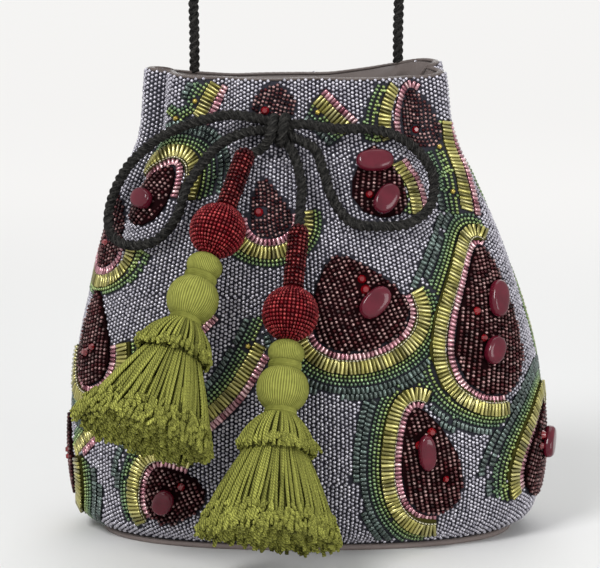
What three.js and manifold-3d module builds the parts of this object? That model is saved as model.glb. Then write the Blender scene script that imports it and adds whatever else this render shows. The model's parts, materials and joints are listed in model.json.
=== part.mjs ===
// Beaded drawstring pouch with a tied cord bow, two hanging tassels and a shoulder cord.
// Millimetres, +Z up. The origin is the middle of the flat base, and the front faces -Y.
import * as THREE from 'three';
import { mergeVertices } from 'three/addons/utils/BufferGeometryUtils.js';
import Module from 'manifold-3d';

const wasm = await Module();
wasm.setup();
const { degToRad, lerp, smoothstep } = THREE.MathUtils;

// Clearance between pieces that touch or are sewn together
const CLEARANCE = 0.3;

// Bag wall: half width, half depth and height of each station, from the hem up to the rim
const BASE_PANEL_THICKNESS = 2.4;
const HEM = { halfWidth: 87, halfDepth: 45, height: BASE_PANEL_THICKNESS + CLEARANCE };
const HEEL = { halfWidth: 96.5, halfDepth: 50.5, height: 11 };
const BELLY = { halfWidth: 100, halfDepth: 54, height: 38 };
const SHOULDER = { halfWidth: 96, halfDepth: 50.5, height: 78 };
const FLANK = { halfWidth: 84.5, halfDepth: 41, height: 119 };
const THROAT = { halfWidth: 72, halfDepth: 29.5, height: 149 };
const NECK = { halfWidth: 64, halfDepth: 21.5, height: 167 };
const RIM = { halfWidth: 61, halfDepth: 17.5, height: 190 };
const WALL = 2.2;
const CORNER_FULLNESS = 0.05;
const LEAN = -4;
const LEAN_START = 60;

// Gathers that the drawstring pulls into the upper wall
const GATHERS = 9;
const GATHER_DEPTH = 3;
const GATHER_SHARPNESS = 0.22;
const GATHER_START = 92;
const GATHER_FULL = 160;
const FIRST_GATHER = degToRad(-103);
const GATHER_DRIFT = -0.5;
const CREST = GATHER_DEPTH * (1 - GATHER_SHARPNESS);
const VALLEY = GATHER_DEPTH * (1 + GATHER_SHARPNESS);

// Where the shoulder cord is sewn in, and the two rises of the rim: angle, height and spread of each
const STRAP_ANGLE = degToRad(43);
const RIM_PEAKS = [
  { angle: degToRad(26), height: 6.5, spread: 0.6 },
  { angle: degToRad(178), height: 3.6, spread: 0.6 },
];
const RIM_PEAK_START = 0.86;

// Lining, stiffener and the strip that binds the rim
const LINING_WALL = 0.8;
const LINING_SLACK = 1.1;
const CHANNEL_HALF = 12;
const CHANNEL_REACH = 20;
const BOARD_THICKNESS = 2;
const BOARD_MARGIN = 3;
const BINDING_HEIGHT = 1.6;
const BINDING_SET_BACK = 0.9;

// Cords
const CORD_RADIUS = 2.3;
const CORD_SIDES = 8;
const CORD_LIFT = 2.5;
const DRAWSTRING_POINTS = 28;
const DRAWSTRING_STEPS = 42;
const LEFT_LOOP_STEPS = 20;
const RIGHT_LOOP_STEPS = 19;
const STRAP_STEPS = 18;
const STRAP_ARCH_POINTS = 8;
const STRAP_STRAIGHT = 30;
const STRAP_STAND_OFF = 1.1;
const STRAP_ARCH = 42;

// Bow knot, with the two ends of the drawstring coming out of the wall behind it
const KNOT = { halfWidth: 8, halfDepth: 5.6, halfHeight: 7.4 };
const KNOT_LIFT = 0.8;
const KNOT_ANGLE = -97;
const KNOT_HEIGHT = 169;
const EXIT_SPREAD = 3.2;
const EXIT_BEND = 9;
const EXIT_TURN = 0.3 * EXIT_BEND;

// Bow and tails: angle round the bag in degrees and height of each point that a cord passes over
const LEFT_LOOP = [
  [-98, 172], [-107, 175], [-118, 175.5], [-134, 171], [-147, 164], [-158, 152], [-161, 138], [-155, 127],
  [-144, 122.5], [-133, 125], [-127.5, 134], [-126, 147], [-118.5, 161.5], [-108, 168.5], [-98, 169],
];
const RIGHT_LOOP = [
  [-96, 171], [-88, 172], [-78, 170], [-60.5, 169], [-49, 162], [-44.5, 151], [-49.5, 138.5], [-58.5, 132],
  [-68, 131], [-76, 133], [-80.5, 142], [-82.5, 152.5], [-85, 161], [-95, 168],
];
const LEFT_TASSEL = { tail: [[-97, 165], [-102.5, 161]], hinge: [-108, 156], swing: -17 };
const RIGHT_TASSEL = {
  tail: [[-96, 166], [-92, 159], [-89.5, 148], [-90.2, 137]],
  hinge: [-91, 128],
  swing: -6,
};

// Tassel, from the beaded stem down to the cut ends of the yarn
const STEM_RADIUS = 4.2;
const STEM_LENGTH = 22;
const STEM_ROWS = 4;
const STEM_ROW_DEPTH = 0.35;
const STEM_DOME = [60, 30];
const BORE_PLAY = 0.4;
const BORE_RADIUS = CORD_RADIUS + BORE_PLAY;
const BALL_RADIUS = 11.2;
const SMALL_BEAD = { radius: 7.2, halfHeight: 5.4 };
const LARGE_BEAD = { radius: 10.3, halfHeight: 9.6 };
const COLLAR = { length: 15.6, topRadius: 5.4, hemRadius: 15.2, wall: 1.5, fullness: 0.8 };
const SKIRT = { drop: 4, length: 47, hemRadius: 28, rows: [0, 0.26, 0.5, 1] };
const SKIRT_FLATNESS = 0.84;
const FLUTES = 12;
const FLUTE_DEPTH = 0.5;
const TASSEL_REST = 2.6;
const TILT_STEP = 0.5;
const LARGEST_TILT = 60;

// Beadwork fields that lie on the wall, each with a band of bugle beads part of the way round,
// and the glass stones sewn over them
const FIELD_HEIGHT = 1.5;
const FIELD_DEPTH = 2;
const FIELD_CROWN = 0.3;
const FIELD_CROWN_SHARE = 0.55;
const POD_TAPER = 0.4;
const EDGE_ROW = 3.4;
const BUGLE_LENGTH = 5.2;
const STONE_HEIGHT = 4.2;
const STONE_SECTION = [[0.84, 0], [1, 0.35], [0.68, 0.94]];

// Each pod: angle round the bag in degrees, height, half width, half height, tilt in degrees,
// and the stretch of its outline in degrees that a bugle band follows, if it has one
const PODS = {
  centre: { angle: -77, height: 103, halfWidth: 19, halfHeight: 20, tilt: 20, band: [165, 345] },
  right: { angle: -36, height: 93, halfWidth: 15, halfHeight: 32, tilt: -12, band: [80, 285] },
  upper_right: { angle: -64, height: 150, halfWidth: 10, halfHeight: 15, tilt: -6 },
  low_right: { angle: -61, height: 38, halfWidth: 12, halfHeight: 23, tilt: 14, band: [70, 265] },
  side_right: { angle: -14, height: 36, halfWidth: 11, halfHeight: 20, tilt: -20, band: [60, 240] },
  upper_left: { angle: -143, height: 144, halfWidth: 8, halfHeight: 14, tilt: -24, band: [10, 170] },
  left: { angle: -157, height: 84, halfWidth: 10, halfHeight: 20, tilt: 10, band: [190, 350] },
  low_left: { angle: -123, height: 24, halfWidth: 13, halfHeight: 12, tilt: 30, band: [20, 200] },
  side_left: { angle: -176, height: 32, halfWidth: 9, halfHeight: 17, tilt: 0, band: [200, 360] },
  back_right: { angle: 52, height: 92, halfWidth: 15, halfHeight: 26, tilt: 18, band: [80, 280] },
  back_middle: { angle: 96, height: 46, halfWidth: 16, halfHeight: 22, tilt: -16, band: [160, 350] },
  back_left: { angle: 137, height: 96, halfWidth: 13, halfHeight: 25, tilt: -14, band: [250, 450] },
};

// Each stone: the pod that carries it, its place there along and up, half sizes and turn in degrees
const STONES = [
  { pod: 'centre', along: 7, up: -3, halfLength: 7.6, halfWidth: 4.8, turn: 25 },
  { pod: 'right', along: 2, up: 9, halfLength: 7.8, halfWidth: 4.6, turn: 84 },
  { pod: 'right', along: -2, up: -13, halfLength: 6, halfWidth: 4.4, turn: 70 },
  { pod: 'upper_right', along: -1, up: 8, halfLength: 7.8, halfWidth: 4.6, turn: 8 },
  { pod: 'upper_right', along: 1.5, up: -8, halfLength: 6.8, halfWidth: 4.6, turn: 60 },
  { pod: 'low_right', along: -1, up: 5, halfLength: 7.4, halfWidth: 3.6, turn: 80 },
  { pod: 'side_right', along: 1, up: 3, halfLength: 7, halfWidth: 4.2, turn: 75 },
  { pod: 'upper_left', along: 0, up: -3, halfLength: 5.2, halfWidth: 4.2, turn: 10 },
  { pod: 'low_left', along: -3, up: -1, halfLength: 5.6, halfWidth: 4.2, turn: 30 },
  { pod: 'back_right', along: 0, up: 4, halfLength: 7.4, halfWidth: 4.6, turn: 70 },
  { pod: 'back_middle', along: 2, up: -2, halfLength: 7, halfWidth: 4.6, turn: 40 },
];

// Facets
const WALL_COLUMNS = 54;
const WALL_ROWS = 10;
const LINING_ROWS = [1, 3, 5, 7, 8, 9, 10];
const BASE_COLUMNS = 32;
const BEAD_COLUMNS = 10;
const BALL_ROWS = 7;
const SMALL_BEAD_ROWS = 5;
const LARGE_BEAD_ROWS = 7;
const COLLAR_ROWS = 2;
const STONE_COLUMNS = 10;
const POD_COLUMNS = 12;
const BAND_STEPS = 8;

const satin = (color, roughness, metalness = 0) =>
  new THREE.MeshStandardMaterial({ color, roughness, metalness });
const greyBeads = satin(0x8a90a0, 0.3, 0.1);
const garnetBeads = satin(0x4a1219, 0.25);
const oliveBeads = satin(0x9aa23c, 0.25, 0.2);
const wineGlass = satin(0x6d0f22, 0.12);
const crimsonBeads = satin(0x7d0a1c, 0.3);
const greenYarn = satin(0x8f9d3a, 0.85);
const blackCord = satin(0x1d1c1c, 0.8);
const taupeCloth = satin(0x8b7d78, 0.6);
const greyBoard = satin(0x9b968c, 0.9);

const bag = new THREE.Group();

function add(parent, name, geometry, material) {
  const mesh = new THREE.Mesh(geometry, material);
  mesh.name = name;
  parent.add(mesh);
}

const profile = new THREE.CatmullRomCurve3(
  [HEM, HEEL, BELLY, SHOULDER, FLANK, THROAT, NECK, RIM].map(
    (s) => new THREE.Vector3(s.halfWidth, s.halfDepth, s.height),
  ),
  false,
  'catmullrom',
  0.5,
);

// Solves the profile for the place, from 0 at the hem to 1 at the rim, that has a given height.
function placeAt(height) {
  let low = 0;
  let high = 1;
  for (let i = 0; i < 30; i++) {
    const middle = (low + high) / 2;
    if (profile.getPoint(middle).z < height) low = middle;
    else high = middle;
  }
  return (low + high) / 2;
}

const gatherShare = (height) => smoothstep(height, GATHER_START, GATHER_FULL);
const leanAt = (height) => LEAN * smoothstep(height, LEAN_START, RIM.height);

// A gather has a broad crest and a narrow valley.
function gatherWave(angle) {
  const drift = GATHER_DRIFT * (Math.cos(2 * angle) - Math.cos(2 * FIRST_GATHER));
  const phase = GATHERS * (angle - FIRST_GATHER) + drift;
  return Math.cos(phase) - GATHER_SHARPNESS * Math.cos(2 * phase);
}

// Bell-shaped rises of the rim, fading out down the wall
function rimRise(angle, place) {
  const rise = RIM_PEAKS.reduce((sum, peak) => {
    const away = Math.atan2(Math.sin(angle - peak.angle), Math.cos(angle - peak.angle));
    return sum + peak.height * Math.exp(-((away / peak.spread) ** 2));
  }, 0);
  return rise * smoothstep(place, RIM_PEAK_START, 1);
}

// A point of the wall, moved in by inset; gathered is the share of the gathers that it follows.
function wallPoint(angle, place, inset = 0, gathered = 1) {
  const { x: halfWidth, y: halfDepth, z: height } = profile.getPoint(place);
  const a = halfWidth - inset;
  const b = halfDepth - inset;
  const full = 1 + CORNER_FULLNESS * (1 - place) * Math.sin(2 * angle) ** 2;
  const normal = new THREE.Vector2(b * Math.cos(angle), a * Math.sin(angle)).normalize();
  const fold = gathered * GATHER_DEPTH * gatherShare(height) * gatherWave(angle);
  return new THREE.Vector3(
    leanAt(height) + a * full * Math.cos(angle) + fold * normal.x,
    b * full * Math.sin(angle) + fold * normal.y,
    height + rimRise(angle, place),
  );
}

// A point raised square off the wall.
function raisedPoint(angle, place, rise, gathered = 1) {
  const step = 1e-3;
  const at = (a, p) => wallPoint(a, Math.min(1, Math.max(0, p)), 0, gathered);
  const along = at(angle + step, place).sub(at(angle - step, place));
  const up = at(angle, place + step).sub(at(angle, place - step));
  return at(angle, place).addScaledVector(along.cross(up).normalize(), rise);
}

// A point over the crests of the gathers, where a cord or a tassel rests.
function overCrests([angleDegrees, height], rise) {
  return raisedPoint(degToRad(angleDegrees), placeAt(height), rise + CREST * gatherShare(height), 0);
}

const angles = (count) => Array.from({ length: count }, (_, i) => (2 * Math.PI * i) / count);
const steps = (count) => Array.from({ length: count + 1 }, (_, i) => i / count);

// Joins loops of equal length into one closed surface: a ring, or a body with two capped ends.
function loft(loops, { ring = false, caps } = {}) {
  const count = loops[0].length;
  const points = loops.flat();
  const faces = [];
  for (let i = 0; i < loops.length - (ring ? 0 : 1); i++) {
    const next = ((i + 1) % loops.length) * count;
    for (let j = 0; j < count; j++) {
      const k = (j + 1) % count;
      faces.push([i * count + j, i * count + k, next + k], [i * count + j, next + k, next + j]);
    }
  }
  if (!ring) {
    const mean = (loop) => loop.reduce((sum, p) => sum.addScaledVector(p, 1 / count), new THREE.Vector3());
    points.push(...(caps ?? [mean(loops[0]), mean(loops.at(-1))]));
    const last = (loops.length - 1) * count;
    for (let j = 0; j < count; j++) {
      const k = (j + 1) % count;
      faces.push([points.length - 2, k, j], [points.length - 1, last + j, last + k]);
    }
  }
  const volume = faces.reduce(
    (sum, [a, b, c]) => sum + points[a].dot(new THREE.Vector3().crossVectors(points[b], points[c])),
    0,
  );
  if (volume < 0) faces.forEach((face) => face.reverse());
  return new THREE.BufferGeometry().setFromPoints(points).setIndex(faces.flat());
}

// A round cord along a path.
function cordGeometry(path, stepCount, radius = CORD_RADIUS) {
  const corner = (a) => new THREE.Vector2(radius * Math.cos(a), radius * Math.sin(a));
  return new THREE.ExtrudeGeometry(new THREE.Shape(angles(CORD_SIDES).map(corner)), {
    steps: stepCount,
    extrudePath: path,
    bevelEnabled: false,
  });
}

const cordPath = (points) => new THREE.CatmullRomCurve3(points, false, 'centripetal');

function toSolid(geometry) {
  const bare = geometry.clone();
  bare.deleteAttribute('normal');
  bare.deleteAttribute('uv');
  const merged = mergeVertices(bare, 1e-3);
  return new wasm.Manifold(
    new wasm.Mesh({
      numProp: 3,
      vertProperties: merged.attributes.position.array,
      triVerts: new Uint32Array(merged.index.array),
    }),
  );
}

function cut(geometry, ...tools) {
  const solid = tools.reduce((left, tool) => left.subtract(toSolid(tool)), toSolid(geometry));
  const mesh = solid.getMesh();
  return new THREE.BufferGeometry()
    .setAttribute('position', new THREE.BufferAttribute(mesh.vertProperties, 3))
    .setIndex(new THREE.BufferAttribute(mesh.triVerts, 1));
}

// Bow knot
const knotCentre = overCrests([KNOT_ANGLE, KNOT_HEIGHT], KNOT.halfDepth + KNOT_LIFT);

function knotGeometry(grow) {
  return new THREE.SphereGeometry(1, 12, 7)
    .rotateX(Math.PI / 2)
    .scale(KNOT.halfWidth + grow, KNOT.halfDepth + grow, KNOT.halfHeight + grow)
    .translate(knotCentre.x, knotCentre.y, knotCentre.z);
}

const knotRoom = knotGeometry(CLEARANCE);
add(bag, 'bow_knot', knotGeometry(0), blackCord);

// Drawstring: a smooth ring inside the gathers, whose two ends turn out through the front wall
function drawstringPath() {
  const inset = VALLEY + WALL + CLEARANCE + CORD_RADIUS;
  const place = placeAt(KNOT_HEIGHT);
  const onRing = (a) => wallPoint(a, place, inset, 0).setZ(knotCentre.z);
  const isBack = (p) => p.y > 0 || Math.abs(p.x - knotCentre.x) > EXIT_SPREAD + EXIT_BEND;
  const start = degToRad(KNOT_ANGLE);
  const ring = angles(DRAWSTRING_POINTS).map((a) => onRing(start + a)).filter(isBack);
  const front = onRing(start).y;
  const end = (side) => [
    [EXIT_SPREAD + EXIT_TURN, front - EXIT_TURN],
    [EXIT_SPREAD, front - EXIT_BEND],
    [EXIT_SPREAD, knotCentre.y],
  ].map(([x, y]) => new THREE.Vector3(knotCentre.x + side * x, y, knotCentre.z));
  return cordPath([...end(1).reverse(), ...ring, ...end(-1)]);
}

const drawstring = drawstringPath();
add(bag, 'drawstring_cord', cut(cordGeometry(drawstring, DRAWSTRING_STEPS), knotRoom), blackCord);

// Beaded outer wall, pierced in front by the two ends of the drawstring
const wallLoops = (inset) =>
  steps(WALL_ROWS).map((place) => angles(WALL_COLUMNS).map((a) => wallPoint(a, place, inset)));
const wallShape = loft([...wallLoops(0), ...wallLoops(WALL).reverse()], { ring: true });

const drawstringRoom = cordGeometry(drawstring, DRAWSTRING_STEPS, CORD_RADIUS + CLEARANCE);
add(bag, 'beaded_shell', cut(wallShape, drawstringRoom), greyBeads);

// Base panel with a softened lower edge, and the stiff board that lies on it
function hemLoop(inset, height) {
  return angles(BASE_COLUMNS).map((a) => wallPoint(a, 0, inset).setZ(height));
}

const softEdge = BASE_PANEL_THICKNESS / 3;
add(
  bag,
  'base_panel',
  loft([hemLoop(softEdge, 0), hemLoop(0, softEdge), hemLoop(0, BASE_PANEL_THICKNESS)]),
  taupeCloth,
);
const boardInset = WALL + BOARD_MARGIN;
const boardTop = HEM.height + BOARD_THICKNESS;
add(bag, 'base_board', loft([hemLoop(boardInset, HEM.height), hemLoop(boardInset, boardTop)]), greyBoard);

// Lining: a thin cup inside the wall. It stands clear of the drawstring at the neck,
// and meets the wall again at the rim, where it follows the gathers.
function liningLoop(place, inset) {
  const height = profile.getPoint(place).z;
  const atRim = smoothstep(height, knotCentre.z + CHANNEL_HALF / 2, RIM.height);
  const atCord = 1 - smoothstep(Math.abs(height - knotCentre.z), CHANNEL_HALF, CHANNEL_REACH);
  const room = LINING_SLACK + VALLEY * gatherShare(height) * (1 - atRim);
  const total = WALL + CLEARANCE + room + (2 * CORD_RADIUS + CLEARANCE) * atCord + inset;
  return angles(WALL_COLUMNS).map((a) => wallPoint(a, place, total, atRim));
}

function liningGeometry() {
  const places = LINING_ROWS.map((row) => row / WALL_ROWS);
  const floor = boardTop + CLEARANCE;
  const floorLoop = (inset, height) => liningLoop(0, inset + BOARD_MARGIN).map((p) => p.setZ(height));
  return loft([
    floorLoop(0, floor),
    ...places.map((p) => liningLoop(p, 0)),
    ...places.map((p) => liningLoop(p, LINING_WALL)).reverse(),
    floorLoop(LINING_WALL, floor + LINING_WALL),
  ]);
}

add(bag, 'lining', liningGeometry(), taupeCloth);

// Binding over the upper edges of wall and lining
const bindingInner = WALL + CLEARANCE + LINING_SLACK + LINING_WALL + CLEARANCE;

function bindingLoop(inset, rise) {
  return angles(WALL_COLUMNS).map((a) => {
    const point = wallPoint(a, 1, inset);
    return point.setZ(point.z + CLEARANCE + rise);
  });
}

add(
  bag,
  'rim_binding',
  loft(
    [
      bindingLoop(BINDING_SET_BACK, 0),
      bindingLoop(BINDING_SET_BACK, BINDING_HEIGHT),
      bindingLoop(bindingInner, BINDING_HEIGHT),
      bindingLoop(bindingInner, 0),
    ],
    { ring: true },
  ),
  taupeCloth,
);

// Bow loops, trimmed where they enter the knot
for (const [name, route, count] of [
  ['bow_loop_left', LEFT_LOOP, LEFT_LOOP_STEPS],
  ['bow_loop_right', RIGHT_LOOP, RIGHT_LOOP_STEPS],
]) {
  const path = cordPath(route.map((point) => overCrests(point, CORD_RADIUS + CORD_LIFT)));
  add(bag, name, cut(cordGeometry(path, count), knotRoom), blackCord);
}

// Shoulder cord: two strands from the peaks of the rim, joined by a plain arch
function strapPath() {
  const foot = (angle) => {
    const point = wallPoint(angle, 1, (BINDING_SET_BACK + bindingInner) / 2);
    return point.setZ(point.z + BINDING_HEIGHT + STRAP_STAND_OFF);
  };
  const right = foot(STRAP_ANGLE);
  const left = foot(Math.PI - STRAP_ANGLE);
  const spring = Math.max(right.z, left.z) + STRAP_STRAIGHT;
  const arch = steps(STRAP_ARCH_POINTS).map((s) => {
    const point = right.clone().lerp(left, (1 - Math.cos(Math.PI * s)) / 2);
    return point.setZ(spring + STRAP_ARCH * Math.sin(Math.PI * s));
  });
  const rise = (point) => point.clone().setZ((point.z + spring) / 2);
  return cordPath([right, rise(right), ...arch, rise(left), left]);
}

add(bag, 'shoulder_cord', cordGeometry(strapPath(), STRAP_STEPS), blackCord);

// Tassel pieces are turned about their own axis: z runs up along it, with 0 at the hinge.
const capHeight = ({ radius, halfHeight }) => halfHeight * Math.sqrt(1 - (BORE_RADIUS / radius) ** 2);
const BALL = { radius: BALL_RADIUS, halfHeight: BALL_RADIUS };
const ballMiddle = STEM_LENGTH + CLEARANCE + capHeight(BALL);
const smallMiddle = ballMiddle + capHeight(BALL) + CLEARANCE + capHeight(SMALL_BEAD);
const largeMiddle = smallMiddle + capHeight(SMALL_BEAD) + CLEARANCE + capHeight(LARGE_BEAD);
const collarTop = largeMiddle + capHeight(LARGE_BEAD) + CLEARANCE;
const skirtTop = collarTop + SKIRT.drop;
const skirtHem = skirtTop + SKIRT.length;
const coreTop = STEM_RADIUS;

function collarRadius(down) {
  const share = Math.sin((Math.PI / 2) * ((down - collarTop) / COLLAR.length));
  return lerp(COLLAR.topRadius, COLLAR.hemRadius, share ** COLLAR.fullness);
}

function skirtRadius(down) {
  const underCollar = collarTop + COLLAR.length;
  if (down <= underCollar) return collarRadius(down) - COLLAR.wall - CLEARANCE - 2 * FLUTE_DEPTH;
  return lerp(skirtRadius(underCollar), SKIRT.hemRadius, (down - underCollar) / (skirtHem - underCollar));
}

// The yarn is round at the top of the collar and flatter the nearer it is to the hem.
function flatness(down) {
  const share = (down - collarTop) / (skirtHem - collarTop);
  return lerp(1, SKIRT_FLATNESS, Math.max(0, share));
}

// Fluted loop of yarn round the axis
function yarnLoop(radius, down) {
  return angles(2 * FLUTES).map((a) => {
    const r = radius + FLUTE_DEPTH * Math.cos(FLUTES * a);
    return new THREE.Vector3(r * Math.cos(a), flatness(down) * r * Math.sin(a), -down);
  });
}

function turned(outline) {
  const points = outline.map(([radius, down]) => new THREE.Vector2(radius, -down));
  return new THREE.LatheGeometry(points, BEAD_COLUMNS).rotateX(Math.PI / 2);
}

function boredBead(bead, middle, rows) {
  const start = Math.asin(BORE_RADIUS / bead.radius);
  const arc = steps(rows).map((s) => {
    const turn = lerp(start, Math.PI - start, s);
    return [bead.radius * Math.sin(turn), middle + bead.halfHeight * Math.cos(turn)];
  });
  return turned([...arc, arc[0]]);
}

function stemGeometry() {
  const ridge = (i) => STEM_RADIUS + STEM_ROW_DEPTH * (i % 2);
  const rows = steps(2 * STEM_ROWS).map((s, i) => [ridge(i), STEM_LENGTH * (1 - s)]);
  const dome = STEM_DOME.map(degToRad).map((t) => [STEM_RADIUS * Math.sin(t), -STEM_RADIUS * Math.cos(t)]);
  const roof = coreTop - CLEARANCE;
  const bore = [[0, roof], [BORE_RADIUS, roof], [BORE_RADIUS, STEM_LENGTH]];
  return turned([...bore, ...rows, ...dome, [0, -STEM_RADIUS]]);
}

function collarGeometry() {
  const rows = steps(COLLAR_ROWS).map((s) => collarTop + COLLAR.length * s);
  const inner = (down) => Math.max(BORE_RADIUS + FLUTE_DEPTH, collarRadius(down) - COLLAR.wall);
  return loft(
    [
      ...rows.map((down) => yarnLoop(collarRadius(down), down)),
      ...rows.map((down) => yarnLoop(inner(down), down)).reverse(),
    ],
    { ring: true },
  );
}

function skirtGeometry() {
  const rows = SKIRT.rows.map((s) => lerp(skirtTop, skirtHem, s));
  return loft(rows.map((down) => yarnLoop(skirtRadius(down), down)));
}

function coreGeometry() {
  const ring = (down) => angles(CORD_SIDES).map(
    (a) => new THREE.Vector3(CORD_RADIUS * Math.cos(a), CORD_RADIUS * Math.sin(a), -down),
  );
  return loft([ring(coreTop), ring(skirtTop - CLEARANCE)]);
}

// Half width of the whole tassel at a place along its axis
function tasselRadius(down) {
  const within = (middle, { radius, halfHeight }) =>
    radius * Math.sqrt(Math.max(0, 1 - ((down - middle) / halfHeight) ** 2));
  return Math.max(
    down < STEM_LENGTH ? STEM_RADIUS + STEM_ROW_DEPTH : 0,
    within(ballMiddle, BALL),
    within(smallMiddle, SMALL_BEAD),
    within(largeMiddle, LARGE_BEAD),
    down > collarTop ? collarRadius(Math.min(down, collarTop + COLLAR.length)) : 0,
    down > collarTop ? skirtRadius(down) : 0,
  );
}

// Distance from the crests of the wall, taken level
function levelDistance(point) {
  const { x: a, y: b } = profile.getPoint(placeAt(point.z));
  const crest = CREST * gatherShare(point.z);
  const x = (point.x - leanAt(point.z)) / (a + crest);
  const y = point.y / (b + crest);
  const full = 1 + CORNER_FULLNESS * (1 - placeAt(point.z)) * (2 * x * y / (x * x + y * y)) ** 2;
  const share = (x * x + y * y) / full ** 2 - 1;
  return share / (2 * Math.hypot(x / (a + crest), y / (b + crest)) / full ** 2);
}

// Turns a tassel out from the wall, a little at a time, until all of it lies clear of the wall.
function tasselFrame({ hinge, swing }) {
  const pivot = overCrests(hinge, STEM_RADIUS + STEM_ROW_DEPTH + TASSEL_REST);
  const out = raisedPoint(degToRad(hinge[0]), placeAt(hinge[1]), 1, 0)
    .sub(raisedPoint(degToRad(hinge[0]), placeAt(hinge[1]), 0, 0))
    .setZ(0)
    .normalize();
  const side = new THREE.Vector3(-out.y, out.x, 0);
  const hang = side.multiplyScalar(Math.sin(degToRad(swing))).setZ(-Math.cos(degToRad(swing)));
  const frame = new THREE.Matrix4();
  const isClear = () => steps(2 * FLUTES).every((s) => {
    const down = skirtHem * s;
    const r = tasselRadius(down);
    return angles(FLUTES).every((a) => {
      const point = new THREE.Vector3(r * Math.cos(a), flatness(down) * r * Math.sin(a), -down);
      return levelDistance(point.applyMatrix4(frame)) > TASSEL_REST;
    });
  });
  for (let tilt = 0; tilt < LARGEST_TILT; tilt += TILT_STEP) {
    const down = hang.clone().multiplyScalar(Math.cos(degToRad(tilt)));
    down.addScaledVector(out, Math.sin(degToRad(tilt)));
    const up = down.negate();
    const across = new THREE.Vector3().crossVectors(out, up).normalize();
    frame.makeBasis(across, new THREE.Vector3().crossVectors(up, across), up).setPosition(pivot);
    if (isClear()) break;
  }
  return frame;
}

for (const [side, tassel] of [['left', LEFT_TASSEL], ['right', RIGHT_TASSEL]]) {
  const group = new THREE.Group();
  group.applyMatrix4(tasselFrame(tassel));
  add(group, `${side}_tassel_stem`, stemGeometry(), crimsonBeads);
  add(group, `${side}_tassel_ball`, boredBead(BALL, ballMiddle, BALL_ROWS), crimsonBeads);
  add(group, `${side}_tassel_small_bead`, boredBead(SMALL_BEAD, smallMiddle, SMALL_BEAD_ROWS), greenYarn);
  add(group, `${side}_tassel_large_bead`, boredBead(LARGE_BEAD, largeMiddle, LARGE_BEAD_ROWS), greenYarn);
  add(group, `${side}_tassel_collar`, collarGeometry(), greenYarn);
  add(group, `${side}_tassel_skirt`, skirtGeometry(), greenYarn);
  add(group, `${side}_tassel_core`, coreGeometry(), blackCord);
  bag.add(group);

  const pivot = group.position;
  const stemRoom = new THREE.SphereGeometry(STEM_RADIUS + CLEARANCE, 12, 8)
    .translate(pivot.x, pivot.y, pivot.z);
  const route = [...tassel.tail.map((point) => overCrests(point, CORD_RADIUS + CORD_LIFT)), pivot.clone()];
  const tail = cordGeometry(cordPath(route), 2 * route.length);
  add(bag, `${side}_tail_cord`, cut(tail, knotRoom, stemRoom), blackCord);
}

// A point raised off the facets of the wall, where a bead field lies
function facetPoint(angle, place, rise) {
  const column = (angle / (2 * Math.PI)) * WALL_COLUMNS;
  const row = place * WALL_ROWS;
  const left = Math.floor(column);
  const low = Math.min(WALL_ROWS - 1, Math.floor(row));
  const edge = (i) => {
    const corner = (j) => wallPoint((2 * Math.PI * (left + j)) / WALL_COLUMNS, (low + i) / WALL_ROWS);
    return corner(0).lerp(corner(1), column - left);
  };
  const out = raisedPoint(angle, place, 1).sub(wallPoint(angle, place));
  return edge(0).lerp(edge(1), row - low).addScaledVector(out, rise);
}

// Beadwork pods: a place given in millimetres on the pod is laid on the wall
function podPoint(pod, x, y, rise) {
  const turn = degToRad(pod.tilt);
  const angle = degToRad(pod.angle);
  const at = (a, height) => wallPoint(a, placeAt(height), 0, 0);
  const around = at(angle + 0.01, pod.height).distanceTo(at(angle - 0.01, pod.height)) / 0.02;
  const upwards = at(angle, pod.height + 1).distanceTo(at(angle, pod.height - 1)) / 2;
  const height = pod.height + (x * Math.sin(turn) + y * Math.cos(turn)) / upwards;
  return facetPoint(angle + (x * Math.cos(turn) - y * Math.sin(turn)) / around, placeAt(height), rise);
}

// The pod's outline, a drop that narrows upwards, moved outwards by a distance
function podOutline(pod, turn, outwards) {
  const at = (a) => new THREE.Vector2(
    pod.halfWidth * Math.cos(a) * (1 - POD_TAPER * Math.sin(a)),
    pod.halfHeight * Math.sin(a),
  );
  const along = at(turn + 1e-3).sub(at(turn - 1e-3)).normalize();
  return at(turn).add(new THREE.Vector2(along.y, -along.x).multiplyScalar(outwards));
}

function podGeometry(pod) {
  const loop = (share, rise) => angles(POD_COLUMNS).map((a) => {
    const { x, y } = podOutline(pod, a, 0);
    return podPoint(pod, share * x, share * y, rise);
  });
  const middle = (rise) => podPoint(pod, 0, 0, rise);
  const crown = loop(FIELD_CROWN_SHARE, FIELD_HEIGHT + FIELD_CROWN / 2);
  return loft(
    [loop(1, -FIELD_DEPTH), loop(1, FIELD_HEIGHT), crown],
    { caps: [middle(-2 * FIELD_DEPTH), middle(FIELD_HEIGHT + FIELD_CROWN)] },
  );
}

function bandGeometry(pod) {
  const [from, to] = pod.band.map(degToRad);
  return loft(
    steps(BAND_STEPS).map((s) => {
      const corner = (outwards, rise) => {
        const { x, y } = podOutline(pod, lerp(from, to, s), outwards);
        return podPoint(pod, x, y, rise);
      };
      const outer = EDGE_ROW + BUGLE_LENGTH;
      return [
        corner(EDGE_ROW, -FIELD_DEPTH),
        corner(outer, -FIELD_DEPTH),
        corner(outer, FIELD_HEIGHT),
        corner(EDGE_ROW, FIELD_HEIGHT),
      ];
    }),
  );
}

// Pods and bands are cut from below by the room that the wall takes, so they lie on its facets
const wallRoom = loft(wallLoops(-CLEARANCE));
for (const [name, pod] of Object.entries(PODS)) {
  add(bag, `bead_pod_${name}`, cut(podGeometry(pod), wallRoom), garnetBeads);
  if (pod.band) add(bag, `bugle_band_${name}`, cut(bandGeometry(pod), wallRoom), oliveBeads);
}

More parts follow.
